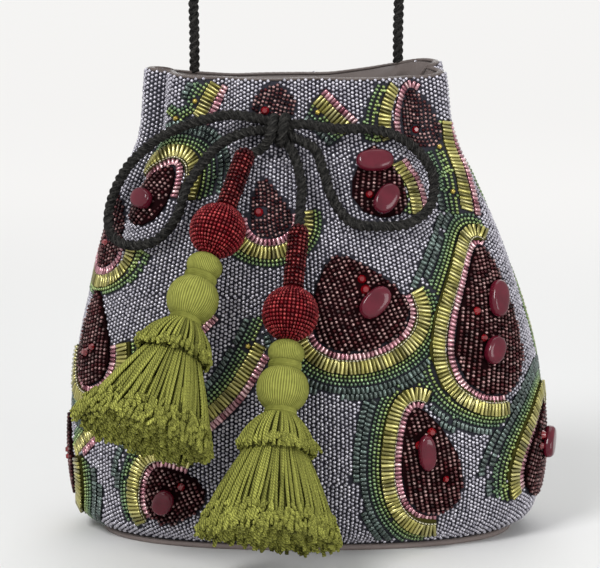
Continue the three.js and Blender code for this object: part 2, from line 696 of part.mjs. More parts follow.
// Stones: flat-backed domes seated on their pods
function stoneGeometry({ pod, along, up, halfLength, halfWidth, turn }) {
  const field = PODS[pod];
  const seat = FIELD_HEIGHT + FIELD_CROWN + CLEARANCE;
  const middle = podPoint(field, along, up, seat);
  const out = podPoint(field, along, up, seat + 1).sub(middle);
  const heading = degToRad(turn);
  const length = podPoint(field, along + Math.cos(heading), up + Math.sin(heading), seat).sub(middle);
  length.addScaledVector(out, -length.dot(out)).normalize();
  const width = new THREE.Vector3().crossVectors(out, length);
  const loop = (share, rise) => angles(STONE_COLUMNS).map((a) =>
    middle
      .clone()
      .addScaledVector(length, share * halfLength * Math.cos(a))
      .addScaledVector(width, share * halfWidth * Math.sin(a))
      .addScaledVector(out, rise * STONE_HEIGHT),
  );
  const crown = middle.clone().addScaledVector(out, STONE_HEIGHT);
  return loft(STONE_SECTION.map(([share, rise]) => loop(share, rise)), { caps: [middle, crown] });
}

STONES.forEach((stone, i) => add(bag, `oval_stone_${i + 1}`, stoneGeometry(stone), wineGlass));

export default bag;
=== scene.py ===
"""Beaded drawstring pouch: every seed bead, bugle, stone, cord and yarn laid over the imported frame.

Metres, +Z up, front towards -Y. The bag's wall is one formula of an angle round the bag and a place
up it, and everything sewn on the bag is set out on that wall.
"""
import json
from collections import namedtuple
from functools import partial

import bpy
import numpy as np
from mathutils import Matrix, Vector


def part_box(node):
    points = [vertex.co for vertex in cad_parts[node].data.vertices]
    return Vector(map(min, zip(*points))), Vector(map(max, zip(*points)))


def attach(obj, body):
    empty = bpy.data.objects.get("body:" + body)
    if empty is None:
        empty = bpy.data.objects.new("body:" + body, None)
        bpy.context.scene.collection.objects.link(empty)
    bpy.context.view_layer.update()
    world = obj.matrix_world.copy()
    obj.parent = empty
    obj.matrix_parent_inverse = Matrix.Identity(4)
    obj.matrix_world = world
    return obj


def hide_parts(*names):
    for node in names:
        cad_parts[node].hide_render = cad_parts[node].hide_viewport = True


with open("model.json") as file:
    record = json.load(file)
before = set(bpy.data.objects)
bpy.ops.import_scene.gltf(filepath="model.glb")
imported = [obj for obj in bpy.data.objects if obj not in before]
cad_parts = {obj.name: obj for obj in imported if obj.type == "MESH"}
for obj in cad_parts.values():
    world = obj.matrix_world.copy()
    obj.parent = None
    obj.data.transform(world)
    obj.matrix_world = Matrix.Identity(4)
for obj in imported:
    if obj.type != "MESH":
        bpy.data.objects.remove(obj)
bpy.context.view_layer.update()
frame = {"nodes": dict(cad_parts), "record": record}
RANDOM = np.random.default_rng(11)
MM = 0.001

# The bag's wall: half width, half depth and height of each station, from hem to rim
STATIONS = MM * np.array([
    (87, 45, 2.7), (96.5, 50.5, 11), (100, 54, 38), (96, 50.5, 78),
    (84.5, 41, 119), (72, 29.5, 149), (64, 21.5, 167), (61, 17.5, 190),
])
RIM_HEIGHT = STATIONS[-1, 2]
CORNER_FULLNESS = 0.05
LEAN = -4 * MM
LEAN_START = 60 * MM
GATHERS = 9
GATHER_DEPTH = 3 * MM
GATHER_SHARPNESS = 0.22
GATHER_START = 92 * MM
GATHER_FULL = 160 * MM
FIRST_GATHER = np.radians(-103)
GATHER_DRIFT = -0.5
CREST = GATHER_DEPTH * (1 - GATHER_SHARPNESS)
VALLEY = GATHER_DEPTH * (1 + GATHER_SHARPNESS)
STRAP_ANGLE = np.radians(43)
RIM_PEAKS = ((np.radians(26), 6.5 * MM, 0.6), (np.radians(178), 3.6 * MM, 0.6))
RIM_PEAK_START = 0.86
WALL_END = 1.03
BEADS_OVER_RIM = 0.9 * MM
BASE_PANEL_THICKNESS = 2.4 * MM

# Cloth under the beads, lining, rim and base
CLOTH_DEPTH = 0.5 * MM
CLOTH_THICKNESS = 0.9 * MM
CLOTH_COLUMNS, CLOTH_ROWS = 180, 50
LINING_DEPTH = 3.6 * MM
LINING_THICKNESS = 0.8 * MM
LINING_START = 0.09
LINING_ROWS, LINING_FLOOR_ROWS = 36, 8
LINING_FLOOR = 5 * MM
CREASE_DEPTH = 0.25 * MM
CHANNEL_DEPTH = 4.9 * MM
CHANNEL_REACH = (12 * MM, 20 * MM)
RIM_TUCK = 6 * MM
BINDING_DEPTH = 2.6 * MM
BINDING_HALF = np.array((1.5, 0.75)) * MM
BINDING_SEAT = 0.85
BINDING_COLUMNS, BINDING_SIDES = 360, 14
STITCHES = 120
STITCH_DENT = 0.05
SOLE_COLUMNS, SOLE_EDGE_ROWS = 200, 9
SOLE_INSETS = (30 * MM, 8 * MM)

# Cords
CORD_RADIUS = 2.3 * MM
CORD_LIFT = 2.5 * MM
CORD_PITCH = 9 * MM
CORD_STEP = 0.7 * MM
CORD_SIDES = 21
CORD_END = 1.2 * MM
PLY_OFFSET = 0.52
KNOT_ANGLE = -97
KNOT_HEIGHT = 169 * MM
KNOT_LIFT = 6.4 * MM
KNOT_TURNS = np.radians((250, 180, 110, 40, -30, -100, -170, -240, -310, -370))
KNOT_SIDES = (4.6 * MM, -2.8 * MM)
KNOT_HALF_DEPTH = 3.4 * MM
KNOT_HALF_HEIGHT = 5.2 * MM
STRAP_STRAIGHT = 30 * MM
STRAP_ARCH = 42 * MM
LEFT_LOOP = [
    (-98, 172), (-107, 175), (-118, 175.5), (-134, 171), (-147, 164), (-158, 152), (-161, 138), (-155, 127),
    (-144, 122.5), (-133, 125), (-127.5, 134), (-126, 147), (-118.5, 161.5), (-108, 168.5), (-98, 169),
]
RIGHT_LOOP = [
    (-96, 171), (-88, 172), (-78, 170), (-60.5, 169), (-49, 162), (-44.5, 151), (-49.5, 138.5), (-58.5, 132),
    (-68, 131), (-76, 133), (-80.5, 142), (-82.5, 152.5), (-85, 161), (-95, 168),
]
LEFT_TAIL = [(-97, 165), (-102.5, 161)]
RIGHT_TAIL = [(-96, 166), (-92, 159), (-89.5, 148), (-90.2, 137)]

# Tassel, measured down its axis from the hinge
STEM_RADIUS = 4.2 * MM
STEM_LENGTH = 22 * MM
BALL_RADIUS = 11.2 * MM
BALL_MIDDLE = 33.2 * MM
COVER_SEED = 0.9 * MM
BALL_SEED = 0.94 * MM
COVER_SEAT = 0.35 * MM
STEM_PITCH = 1.62
STEM_COUNT = 14
STEM_DOME = np.radians((70, 46, 22))
STEM_DOME_COUNTS = (5, 10, 13)
BALL_COUNTS = (42, 21, 14)
SMALL_BEAD = (7.2 * MM, 5.4 * MM, 49.4 * MM)
LARGE_BEAD = (10.3 * MM, 9.6 * MM, 64.0 * MM)
COLLAR_TOP = 73.5 * MM
COLLAR_LENGTH = 15.6 * MM
COLLAR_TOP_RADIUS = 5.4 * MM
COLLAR_HEM_RADIUS = 15.2 * MM
SKIRT_TOP = COLLAR_TOP + 4 * MM
SKIRT_TOP_RADIUS = 6 * MM
SKIRT_HEM = 124.5 * MM
SKIRT_HEM_RADIUS = 28 * MM
SKIRT_FLATNESS = 0.84
YARN_RADIUS = 0.68 * MM
YARN_TURN = 1.3 * MM
# Each layer of yarn: its strands, how far in it lies and how bright it is; the inner layer is darker as
# painted shade
COLLAR_LAYERS = ((54, 0.0, 1.0), (46, 1.3 * MM, 0.28))
SKIRT_LAYERS = ((92, 0.0, 1.0), (88, 1.9 * MM, 0.28))
SKIRT_FILL = 430
GOLDEN_TURN = np.pi * (3 - np.sqrt(5))
TUFT_LENGTH = 3.2 * MM
TUFT_WIDTHS = np.array((0.8, 1.05, 1.25, 0.85))
# Lifted together, the tassels nearly touch: each hem leaves this room where it faces the other one
HEM_ROOM = {"left": 2.8 * MM, "right": 2.0 * MM}
HEM_FACING = {"left": np.radians(-141), "right": np.radians(39)}

# Beads
SEED = 1.66 * MM
SEED_RADIUS = 0.86 * MM
FIELD_RISE = 1.4 * MM
FLAT_RISE = -0.2 * MM
BUGLE_LENGTH = 5.2 * MM
BUGLE_RADIUS = 0.78 * MM
SEED_SIZE = np.array((1.02, 1.06, 0.95)) * SEED_RADIUS
# Painted shade: each bead's colour is dimmed to this share at its foot, rising to full at its crown.
FOOT_SHADE = 0.6
POD_TAPER = 0.4
# Lines of work: where each row lies, and the half length and pitch of each kind of tube
PINK_ROW = 1.6 * MM
EDGE_ROW = 3.4 * MM
LEAF_ROW = EDGE_ROW + BUGLE_LENGTH + 0.9 * MM
GOLD_ROW = EDGE_ROW + BUGLE_LENGTH + 1.4 * MM
DARK_ROW, DARK_STEP = 0.9 * MM, 2.7 * MM
PINK_TUBE = (1.45 * MM, 1.75 * MM)
OLIVE_TUBE = (BUGLE_LENGTH / 2, 1.62 * MM)
DARK_TUBE = (1.25 * MM, 1.9 * MM)
TUBE_REACH = 1.1 * MM
SHORTEST_RUN = 4
# Beads of half rows and half columns find room this far from the others
LEAF_GAP = 1.12 * MM
LEAF_REACH = 1.36 * MM
FIELD_GAP = 1.3 * MM
FIELD_PITCH, PATCH_PITCH, FIELD_STEP = 2 * MM, 1.6 * MM, 1.6
FIELD_MARGIN = 0.55 * MM
FIELD_BEND = 1.1 * MM
# Half width, half height and step, in millimetres, of a grid that covers any field
GRID_WIDTH, GRID_HEIGHT, FINE_GRID = 30, 40, 0.2
CRYSTAL_AREA = 130 * MM * MM
CRYSTAL_SIZES = (1.3, 2.1)
GOLD_STOPS = (60, 66, 200, 206)
GOLD_RADIUS, GOLD_REACH = 1.4 * MM, 1.8 * MM
GROUND_ZONES = (0, 30, 75, 105, 135, 160, 191.5)
GROUND_ROW = 0.96 * SEED
GROUND_STRAY = 1.245e-3
STONE_HEIGHT = 4.2 * MM
STONE_SEAT = 1.7 * MM
STONE_SQUARENESS = 0.88
STONE_LIFTS = np.array((0, 0.10, 0.28, 0.52, 0.74, 0.90, 0.975, 0.992, 1.0))
STONE_WIDTHS = np.array((0.84, 0.94, 1.0, 1.0, 0.96, 0.87, 0.76, 0.45, 0.10))
STONE_COLUMNS = 40

# A field of beads: degrees and millimetres, and the stretch of its outline that has a bugle band
Pod = namedtuple("Pod", "angle height half_width half_height tilt band")
PODS = {
    "centre": Pod(-77, 103, 19, 20, 20, (165, 345)),
    "right": Pod(-36, 93, 15, 32, -12, (80, 285)),
    "upper_right": Pod(-64, 150, 10, 15, -6, None),
    "low_right": Pod(-61, 38, 12, 23, 14, (70, 265)),
    "side_right": Pod(-14, 36, 11, 20, -20, (60, 240)),
    "upper_left": Pod(-143, 144, 8, 14, -24, (10, 170)),
    "left": Pod(-157, 84, 10, 20, 10, (190, 350)),
    "low_left": Pod(-123, 24, 13, 12, 30, (20, 200)),
    "side_left": Pod(-176, 32, 9, 17, 0, (200, 360)),
    "back_right": Pod(52, 92, 15, 26, 18, (80, 280)),
    "back_middle": Pod(96, 46, 16, 22, -16, (160, 350)),
    "back_left": Pod(137, 96, 13, 25, -14, (250, 450)),
}

# Each stone: its pod, place along and up it, half length, half width and turn
STONES = [
    ("centre", 7, -3, 7.6, 4.8, 25), ("right", 2, 9, 7.8, 4.6, 84), ("right", -2, -13, 6, 4.4, 70),
    ("upper_right", -1, 8, 7.8, 4.6, 8), ("upper_right", 1.5, -8, 6.8, 4.6, 60),
    ("low_right", -1, 5, 7.4, 3.6, 80), ("side_right", 1, 3, 7, 4.2, 75), ("upper_left", 0, -3, 5.2, 4.2, 10),
    ("low_left", -3, -1, 5.6, 4.2, 30), ("back_right", 0, 4, 7.4, 4.6, 70),
    ("back_middle", 2, -2, 7, 4.6, 40),
]

# Flat fields of the same beads, sewn straight on the wall
PATCHES = [
    Pod(-99, 182, 9, 8, 0, None), Pod(-37, 174, 8, 13, 8, (60, 205)),
    Pod(-168, 128, 8, 17, 12, (200, 330)), Pod(-100, 140, 8, 13, 12, (190, 340)),
    Pod(20, 150, 8, 15, 10, (80, 260)), Pod(86, 150, 10, 16, -10, (180, 350)),
    Pod(118, 100, 8, 14, 14, (200, 350)), Pod(166, 120, 8, 18, -8, (60, 220)),
    Pod(14, 90, 8, 18, 14, (90, 270)), Pod(60, 34, 12, 14, 20, (30, 200)),
    Pod(150, 40, 10, 16, -14, (120, 300)),
]

# Each vine: points (angle, height) that a band of bugles follows, with leaf beads on its right side
VINES = [
    [(-8, 172), (-13, 156), (-19, 142), (-26, 128)],
    [(-118, 187), (-126, 172), (-139, 165), (-152, 168)],
    [(-112, 96), (-124, 76), (-138, 62), (-146, 44), (-160, 30)],
    [(-95, 94), (-100, 78), (-106, 62), (-116, 46), (-124, 38)],
    [(-79, 187), (-73, 180.5), (-67, 174.5)],
    [(-50, 159), (-46.5, 149), (-48, 136)],
    [(70, 178), (62, 156), (70, 132), (66, 122)],
    [(112, 176), (106, 150), (118, 134), (132, 142)],
    [(30, 62), (40, 42), (34, 24), (24, 10)],
    [(150, 160), (146, 142), (156, 120), (150, 96), (158, 74)],
    [(120, 62), (126, 40), (118, 20)],
    [(78, 78), (88, 92), (96, 84), (110, 78)],
]

# Camera of the photograph: height angle, distance, aim and focal length in image widths
CAMERA_RISE = np.radians(9)
CAMERA_DISTANCE = 1.0
CAMERA_AIM = np.array((-3, 0, 103.5)) * MM
FOCAL_WIDTHS = 2375 / 600
SENSOR = 36

# Stage: the floor, and the name, place, size and power of each lamp
FLOOR_RADIUS, FLOOR_SIDES = 14, 64
LIT_FLOOR = (0.3, 1.3)
LAMP_TARGET = np.array((0, 0, 0.1))
LAMPS = [
    ("key", (-0.9, -1.3, 1.5), 0.7, 26), ("fill", (1.2, -1.4, 0.5), 0.9, 12),
    ("top", (0.1, 0.3, 1.7), 1.2, 6), ("back", (0.3, 1.5, 1.0), 1.2, 7),
]


def smooth_step(value, start, end):
    """0 before start, 1 after end, and 3s^2 - 2s^3 between them."""
    s = np.clip((value - start) / (end - start), 0, 1)
    return s * s * (3 - 2 * s)


def unit(vectors):
    """Vectors divided by their own length."""
    return vectors / np.linalg.norm(vectors, axis=-1, keepdims=True)


def circle(count):
    """Even angles once round."""
    return np.linspace(0, 2 * np.pi, count, endpoint=False)


def ring(turn, radius, height):
    """Points at angles of a circle about the third axis."""
    return np.column_stack([radius * np.cos(turn), radius * np.sin(turn), np.full(len(turn), height)])


def spline(points, t):
    """Catmull-Rom curve through points, at t from 0 to 1, with each end carried straight on past it."""
    points = np.asarray(points, float)
    p = np.vstack([2 * points[0] - points[1], points, 2 * points[-1] - points[-2]])
    t = np.clip(np.asarray(t, float), 0, WALL_END) * (len(points) - 1)
    i = np.minimum(t.astype(int), len(points) - 2)
    f = (t - i)[..., None]
    m1, m2 = (p[i + 2] - p[i]) / 2, (p[i + 3] - p[i + 1]) / 2
    start = (2 * f**3 - 3 * f**2 + 1) * p[i + 1] + (f**3 - 2 * f**2 + f) * m1
    return start + (3 * f**2 - 2 * f**3) * p[i + 2] + (f**3 - f**2) * m2


PLACE_TABLE = np.linspace(0, WALL_END, 2061)
HEIGHT_TABLE = spline(STATIONS, PLACE_TABLE)[:, 2]


def place_at(height):
    """The place from 0 at the hem to 1 at the rim that has this height."""
    return np.interp(height, HEIGHT_TABLE, PLACE_TABLE)


def gather_share(height):
    """How far the gathers are drawn in at a height, from 0 to 1."""
    return smooth_step(height, GATHER_START, GATHER_FULL)


def gather_wave(angle):
    """Cosine with a second harmonic, so that crests are broad and valleys narrow."""
    phase = GATHERS * (angle - FIRST_GATHER)
    phase = phase + GATHER_DRIFT * (np.cos(2 * angle) - np.cos(2 * FIRST_GATHER))
    return np.cos(phase) - GATHER_SHARPNESS * np.cos(2 * phase)


def rim_rise(angle, place):
    """Bell-shaped rises of the rim, which fade out down the last seventh of the wall."""
    rise = 0
    for middle, height, spread in RIM_PEAKS:
        away = np.arctan2(np.sin(angle - middle), np.cos(angle - middle))
        rise = rise + height * np.exp(-((away / spread) ** 2))
    return rise * smooth_step(place, RIM_PEAK_START, 1)


def wall(angle, place, inset=0.0, gathered=1.0):
    """Ellipse of the profile at place, squared off a little, leaning, with the gathers along its normal."""
    angle, place, inset, gathered = np.broadcast_arrays(angle, place, inset, gathered)
    half = spline(STATIONS, place)
    a, b, height = half[..., 0] - inset, half[..., 1] - inset, half[..., 2]
    full = 1 + CORNER_FULLNESS * (1 - place) * np.sin(2 * angle) ** 2
    normal = unit(np.stack([b * np.cos(angle), a * np.sin(angle)], -1))
    fold = gathered * GATHER_DEPTH * gather_share(height) * gather_wave(angle)
    lean = LEAN * smooth_step(height, LEAN_START, RIM_HEIGHT)
    x = lean + a * full * np.cos(angle) + fold * normal[..., 0]
    y = b * full * np.sin(angle) + fold * normal[..., 1]
    return np.stack([x, y, height + rim_rise(angle, place)], -1)


def wall_axes(angle, place, gathered=1.0):
    """Unit vectors round the bag, up it and square out of it, and the lengths of a radian and of a place."""
    step = 1e-3
    up_to, down_to = np.minimum(place + step, WALL_END), np.maximum(place - step, 0)
    east = (wall(angle + step, place, 0, gathered) - wall(angle - step, place, 0, gathered)) / (2 * step)
    north = wall(angle, up_to, 0, gathered) - wall(angle, down_to, 0, gathered)
    north = north / (up_to - down_to)[..., None]
    out = unit(np.cross(east, north))
    around, upward = np.linalg.norm(east, axis=-1), np.linalg.norm(north, axis=-1)
    east = unit(east)
    return east, np.cross(out, east), out, around, upward


def raised(angle, place, rise, gathered=1.0):
    """A point of the wall moved out along its normal."""
    angle, place = np.broadcast_arrays(np.asarray(angle, float), np.asarray(place, float))
    out = wall_axes(angle, place, gathered)[2]
    return wall(angle, place, 0, gathered) + out * np.asarray(rise)[..., None]


def over_crests(points, rise):
    """Points given as degrees and millimetres, lifted over the crests of the gathers."""
    points = np.asarray(points, float)
    height = points[:, 1] * MM
    return raised(np.radians(points[:, 0]), place_at(height), rise + CREST * gather_share(height), 0.0)


def grid_faces(rows, columns, wrap_rows=False, wrap_columns=True):
    """Quads between neighbours of a grid of points, rows first."""
    i = np.arange(rows if wrap_rows else rows - 1)[:, None]
    j = np.arange(columns if wrap_columns else columns - 1)[None]
    k, m = (i + 1) % rows, (j + 1) % columns
    corners = [i * columns + j, i * columns + m, k * columns + m, k * columns + j]
    return np.stack(np.broadcast_arrays(*corners), -1).reshape(-1, 4)


def closed_faces(rows, columns):
    """Quads of a grid that closes round its columns, and a cap on its first and last rows."""
    cap = np.arange(columns)[None]
    return [grid_faces(rows, columns), cap[:, ::-1], (rows - 1) * columns + cap]


def link(name, data):
    """A new object in the scene."""
    thing = bpy.data.objects.new(name, data)
    bpy.context.collection.objects.link(thing)
    return thing


def add_piece(name, points, face_sets, material, body="bag", uv=None, tint=None, flat=False):
    """Puts arrays of points and faces into a mesh object that rides on a body."""
    points = np.asarray(points, float).reshape(-1, 3)
    corners = np.concatenate([np.ravel(f) for f in face_sets])
    sizes = np.concatenate([np.full(len(f), np.shape(f)[1]) for f in face_sets])
    mesh = bpy.data.meshes.new(name)
    mesh.vertices.add(len(points))
    mesh.vertices.foreach_set("co", points.ravel())
    mesh.loops.add(len(corners))
    mesh.loops.foreach_set("vertex_index", corners)
    mesh.polygons.add(len(sizes))
    mesh.polygons.foreach_set("loop_start", np.cumsum(sizes) - sizes)
    mesh.polygons.foreach_set("use_smooth", np.full(len(sizes), not flat))
    if uv is not None:
        layer = mesh.uv_layers.new(name="UVMap")
        layer.data.foreach_set("uv", np.asarray(uv, float).reshape(-1, 2)[corners].ravel())
    if tint is not None:
        colours = np.column_stack([np.asarray(tint, float).reshape(-1, 3), np.ones(len(points))])
        mesh.attributes.new("tint", "FLOAT_COLOR", "POINT").data.foreach_set("color", colours.ravel())
    mesh.update(calc_edges=True)
    mesh.validate()
    mesh.materials.append(material)
    piece = link(name, mesh)
    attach(piece, body)
    return piece


# Materials


class Paint:
    """A shader socket that Python's operators work on, and the material's node tree."""

    def __init__(self, tree, socket=None):
        self.tree = tree
        self.socket = socket

    def node(self, kind, settings=None, output=0, **inputs):
        """Adds a node, sets its settings first and then its sockets, and gives one of its outputs."""
        node = self.tree.nodes.new(kind)
        for name, value in (settings or {}).items():
            if name == "stops":
                while len(node.color_ramp.elements) < len(value):
                    node.color_ramp.elements.new(0.5)
                for stop, (position, colour) in zip(node.color_ramp.elements, value):
                    stop.position = position
                    stop.color = (*colour, 1)
            else:
                setattr(node, name, value)
        for name, value in inputs.items():
            key = int(name[1:]) if name[0] == "_" else name.replace("_", " ")
            socket = node.inputs[key]
            if isinstance(value, Paint):
                self.tree.links.new(value.socket, socket)
            else:
                socket.default_value = value
        return Paint(self.tree, node.outputs[output])

    def maths(self, operation, *values):
        """One of the Math node's operations."""
        inputs = {f"_{i}": value for i, value in enumerate(values)}
        return self.node("ShaderNodeMath", {"operation": operation}, **inputs)

    def __add__(self, other):
        return self.maths("ADD", self, other)

    def __mul__(self, other):
        return self.maths("MULTIPLY", self, other)

    def __sub__(self, other):
        return self.maths("SUBTRACT", self, other)

    def __rsub__(self, other):
        return self.maths("SUBTRACT", other, self)

    def __pow__(self, other):
        return self.maths("POWER", self, other)

    __radd__ = __add__
    __rmul__ = __mul__

    def mix(self, low, high):
        """From colour low at 0 to colour high at 1."""
        colour = lambda c: c if isinstance(c, Paint) else (*c, 1)
        return self.node("ShaderNodeMix", {"data_type": "RGBA"}, 2, _0=self, _6=colour(low), _7=colour(high))


def new_material(name, roughness, **constants):
    """A material with a Principled shader; constants set its sockets directly."""
    material = bpy.data.materials.new(name)
    material.use_nodes = True
    shader = material.node_tree.nodes["Principled BSDF"]
    shader.inputs["Roughness"].default_value = roughness
    for key, value in constants.items():
        shader.inputs[key.replace("_", " ")].default_value = value
    return material, Paint(material.node_tree), shader


def wire(paint, shader, **sockets):
    """Links worked-out values to the shader's sockets."""
    for name, value in sockets.items():
        paint.tree.links.new(value.socket, shader.inputs[name.replace("_", " ")])


def in_object(paint):
    """Object coordinates, in metres."""
    return paint.node("ShaderNodeTexCoord", output=3)


def on_surface(paint):
    """The piece's own UV coordinates."""
    return paint.node("ShaderNodeUVMap", {"uv_map": "UVMap"})


def bead_tint(paint):
    """The colour that each bead or strand carries, with painted shade and painted highlights set in it."""
    return paint.node("ShaderNodeAttribute", {"attribute_name": "tint"})


def noise(paint, scale, detail=2.0, where=None):
    """Noise from 0 to 1, in cycles per metre of Object coordinates or per unit of others."""
    return paint.node("ShaderNodeTexNoise", Vector=where or in_object(paint), Scale=scale, Detail=detail)


def wave(paint, direction, where, scale, distortion):
    """Bands from 0 to 1 across a direction."""
    settings = {"bands_direction": direction}
    return paint.node("ShaderNodeTexWave", settings, 1, Vector=where, Scale=scale, Distortion=distortion)


def bump(paint, height, strength, distance):
    """Normals of a relief that is a distance high where its height is 1."""
    return paint.node("ShaderNodeBump", Height=height, Strength=strength, Distance=distance)


def bead_glass(name, roughness, metallic, coat, specular=0.5):
    """Glass beads: each bead has its own tint, and fine grime between them roughens the gloss."""
    material, paint, shader = new_material(
        name, roughness, Metallic=metallic, Coat_Weight=coat, Coat_Roughness=0.08, Specular_IOR_Level=specular,
    )
    grime = noise(paint, 900) * 0.16 + (roughness - 0.08)
    wire(paint, shader, Base_Color=bead_tint(paint), Roughness=grime)
    return material


def yarn_cotton():
    """Cotton yarn: two plies wind round each strand, with painted shade where they meet, each strand in its
    own tint.
    """
    material, paint, shader = new_material("lime_cotton", 0.9, Specular_IOR_Level=0.08)
    twist = wave(paint, "DIAGONAL", on_surface(paint), 1.0, 0.3)
    tone = noise(paint, 700, 3.0)
    # The twist bands darken the colour as painted shade in the grooves between the plies; the noise is a
    # random tone.
    fibre = (twist**0.6 * 0.7 + tone * 0.5).mix((0.040, 0.044, 0.005), (0.435, 0.445, 0.100))
    multiply = {"data_type": "RGBA", "blend_type": "MULTIPLY"}
    colour = paint.node("ShaderNodeMix", multiply, 2, _0=1.0, _6=fibre, _7=bead_tint(paint))
    wire(paint, shader, Base_Color=colour, Normal=bump(paint, twist + tone * 0.4, 0.8, 0.5 * MM))
    return material


def wrap_cotton():
    """Fine thread laid side by side down a bead: many narrow bands round it with painted shade between the
    threads, uneven in tone.
    """
    material, paint, shader = new_material("wrapped_cotton", 0.85, Specular_IOR_Level=0.1)
    thread = wave(paint, "X", on_surface(paint), 1.0, 0.9)
    # The thread bands darken the colour where the bump is low: painted shade between the threads.
    colour = (thread * 0.6 + noise(paint, 420, 3.0) * 0.5).mix((0.070, 0.076, 0.010), (0.420, 0.430, 0.100))
    wire(paint, shader, Base_Color=colour, Normal=bump(paint, thread, 0.8, 0.3 * MM))
    return material


def cord_cotton():
    """Soft black cord: streaks of grey fibre along each ply, faded out by painted shade in the grooves between
    the plies.
    """
    material, paint, shader = new_material("black_cotton", 0.95, Specular_IOR_Level=0.15)
    where = on_surface(paint)
    side = paint.node("ShaderNodeSeparateXYZ", Vector=where)
    # crown is 1 on each ply and falls towards 0 at the grooves, which gives painted shade there.
    crown = 1 - (side * side * 0.1) ** 2
    streaks = paint.node("ShaderNodeMapping", Vector=where, Scale=(1.9, 0.45, 1.0))
    fibre, lint = noise(paint, 1.0, 3.0, streaks), noise(paint, 900)
    share = (fibre * 5.0 + lint * 1.2 - 2.85) * crown
    colour = share.mix((0.004, 0.004, 0.004), (0.066, 0.063, 0.058))
    wire(paint, shader, Base_Color=colour, Normal=bump(paint, fibre + lint, 0.7, 0.5 * MM))
    return material


def woven_cloth(name, low, high, roughness, sheen):
    """Plain cloth with a fine weave, from two crossed waves, and a faint unevenness of dye."""
    material, paint, shader = new_material(
        name, roughness, Sheen_Weight=sheen, Sheen_Roughness=0.4, Specular_IOR_Level=0.5 * (1 - roughness),
    )
    where = in_object(paint)
    weave = wave(paint, "Z", where, 900.0, 1.0) * wave(paint, "X", where, 900.0, 1.0)
    colour = (noise(paint, 60, 4.0) * 0.7 + weave * 0.4).mix(low, high)
    wire(paint, shader, Base_Color=colour, Normal=bump(paint, weave, 0.3, 0.3 * MM))
    return material


def wine_stone_glass():
    """Polished wine-red stone: clouded inside, with a clear coat."""
    material, paint, shader = new_material(
        "wine_glass", 0.14, Coat_Weight=0.12, Coat_Roughness=0.05, Specular_IOR_Level=0.3,
    )
    cloud = noise(paint, 160, 5.0)
    wire(paint, shader, Base_Color=(cloud * 1.2 - 0.1).mix((0.050, 0.002, 0.008), (0.14, 0.010, 0.024)))
    return material


def red_crystal_glass():
    """Cut red crystal: flat facets, each with a slightly different depth of red."""
    material, paint, shader = new_material("red_crystal", 0.08, Coat_Weight=0.4, Specular_IOR_Level=0.6)
    cloud = noise(paint, 500, 1.0)
    wire(paint, shader, Base_Color=cloud.mix((0.045, 0.0, 0.002), (0.34, 0.004, 0.010)))
    return material


def grey_card():
    """Stiffener board: grey card with fine fibres."""
    material, paint, shader = new_material("grey_card", 0.9)
    wire(paint, shader, Base_Color=noise(paint, 700, 4.0).mix((0.25, 0.235, 0.21), (0.42, 0.40, 0.37)))
    return material


SEED_GLASS = bead_glass("lined_seed_glass", 0.24, 0.5, 0.3)
DEEP_GLASS = bead_glass("deep_seed_glass", 0.2, 0.35, 0.03, 0.15)
BUGLE_GLASS = bead_glass("silver_lined_bugle", 0.2, 0.6, 0.3)
YARN = yarn_cotton()
WRAP = wrap_cotton()
CORD = cord_cotton()
SOLE = woven_cloth("taupe_sole", (0.17, 0.135, 0.125), (0.30, 0.25, 0.235), 0.6, 0.1)
SATIN = woven_cloth("taupe_satin", (0.075, 0.058, 0.053), (0.150, 0.122, 0.113), 0.45, 0.2)
BACKING = woven_cloth("dark_backing_cloth", (0.022, 0.022, 0.030), (0.045, 0.045, 0.056), 0.9, 0.0)
STONE = wine_stone_glass()
MAROON_FELT = woven_cloth("maroon_felt", (0.004, 0.0008, 0.001), (0.012, 0.002, 0.003), 0.9, 0.0)
OLIVE_FELT = woven_cloth("olive_felt", (0.030, 0.028, 0.006), (0.072, 0.068, 0.015), 0.9, 0.0)
CRIMSON_THREAD = woven_cloth("crimson_thread", (0.045, 0.001, 0.003), (0.095, 0.003, 0.006), 0.85, 0.0)
CRYSTAL = red_crystal_glass()
CARD = grey_card()


# Stage and camera


def add_floor():
    """A wide pale disc: lit near the bag, and further out as bright as the backdrop."""
    mesh = bpy.data.meshes.new("floor")
    mesh.from_pydata(ring(circle(FLOOR_SIDES), FLOOR_RADIUS, 0).tolist(), [], [list(range(FLOOR_SIDES))])
    floor = link("floor", mesh)
    material, paint, shader = new_material("pale_floor", 0.9, Emission_Strength=1.0)
    away = paint.node("ShaderNodeVectorMath", {"operation": "LENGTH"}, 1, _0=in_object(paint))
    fade, (near, far) = {"interpolation_type": "SMOOTHSTEP"}, LIT_FLOOR
    share = paint.node("ShaderNodeMapRange", fade, _0=away, _1=near, _2=far, _3=0.0, _4=1.0)
    wire(paint, shader, Base_Color=share.mix((0.80, 0.80, 0.795), (0, 0, 0)))
    wire(paint, shader, Emission_Color=share.mix((0, 0, 0), (0.84, 0.832, 0.82)))
    mesh.materials.append(material)


def add_world():
    """A pale world, brighter to the camera, in reflections and through glass than as light."""
    world = bpy.data.worlds.new("studio")
    bpy.context.scene.world = world
    world.use_nodes = True
    paint = Paint(world.node_tree)
    seen = 0
    for ray in (0, 3, 6):
        seen = paint.node("ShaderNodeLightPath", output=ray) + seen
    seen = paint.maths("MINIMUM", seen, 1.0)
    background = world.node_tree.nodes["Background"]
    world.node_tree.links.new((seen * 0.47 + 0.42).socket, background.inputs["Strength"])
    background.inputs["Color"].default_value = (0.99, 1, 1, 1)


def add_lamps():
    """Soft square lamps that all look at the bag."""
    for name, place, size, power in LAMPS:
        lamp = bpy.data.lights.new(name, "AREA")
        lamp.size = size
        lamp.energy = power
        aim(link(name, lamp), np.array(place), LAMP_TARGET)


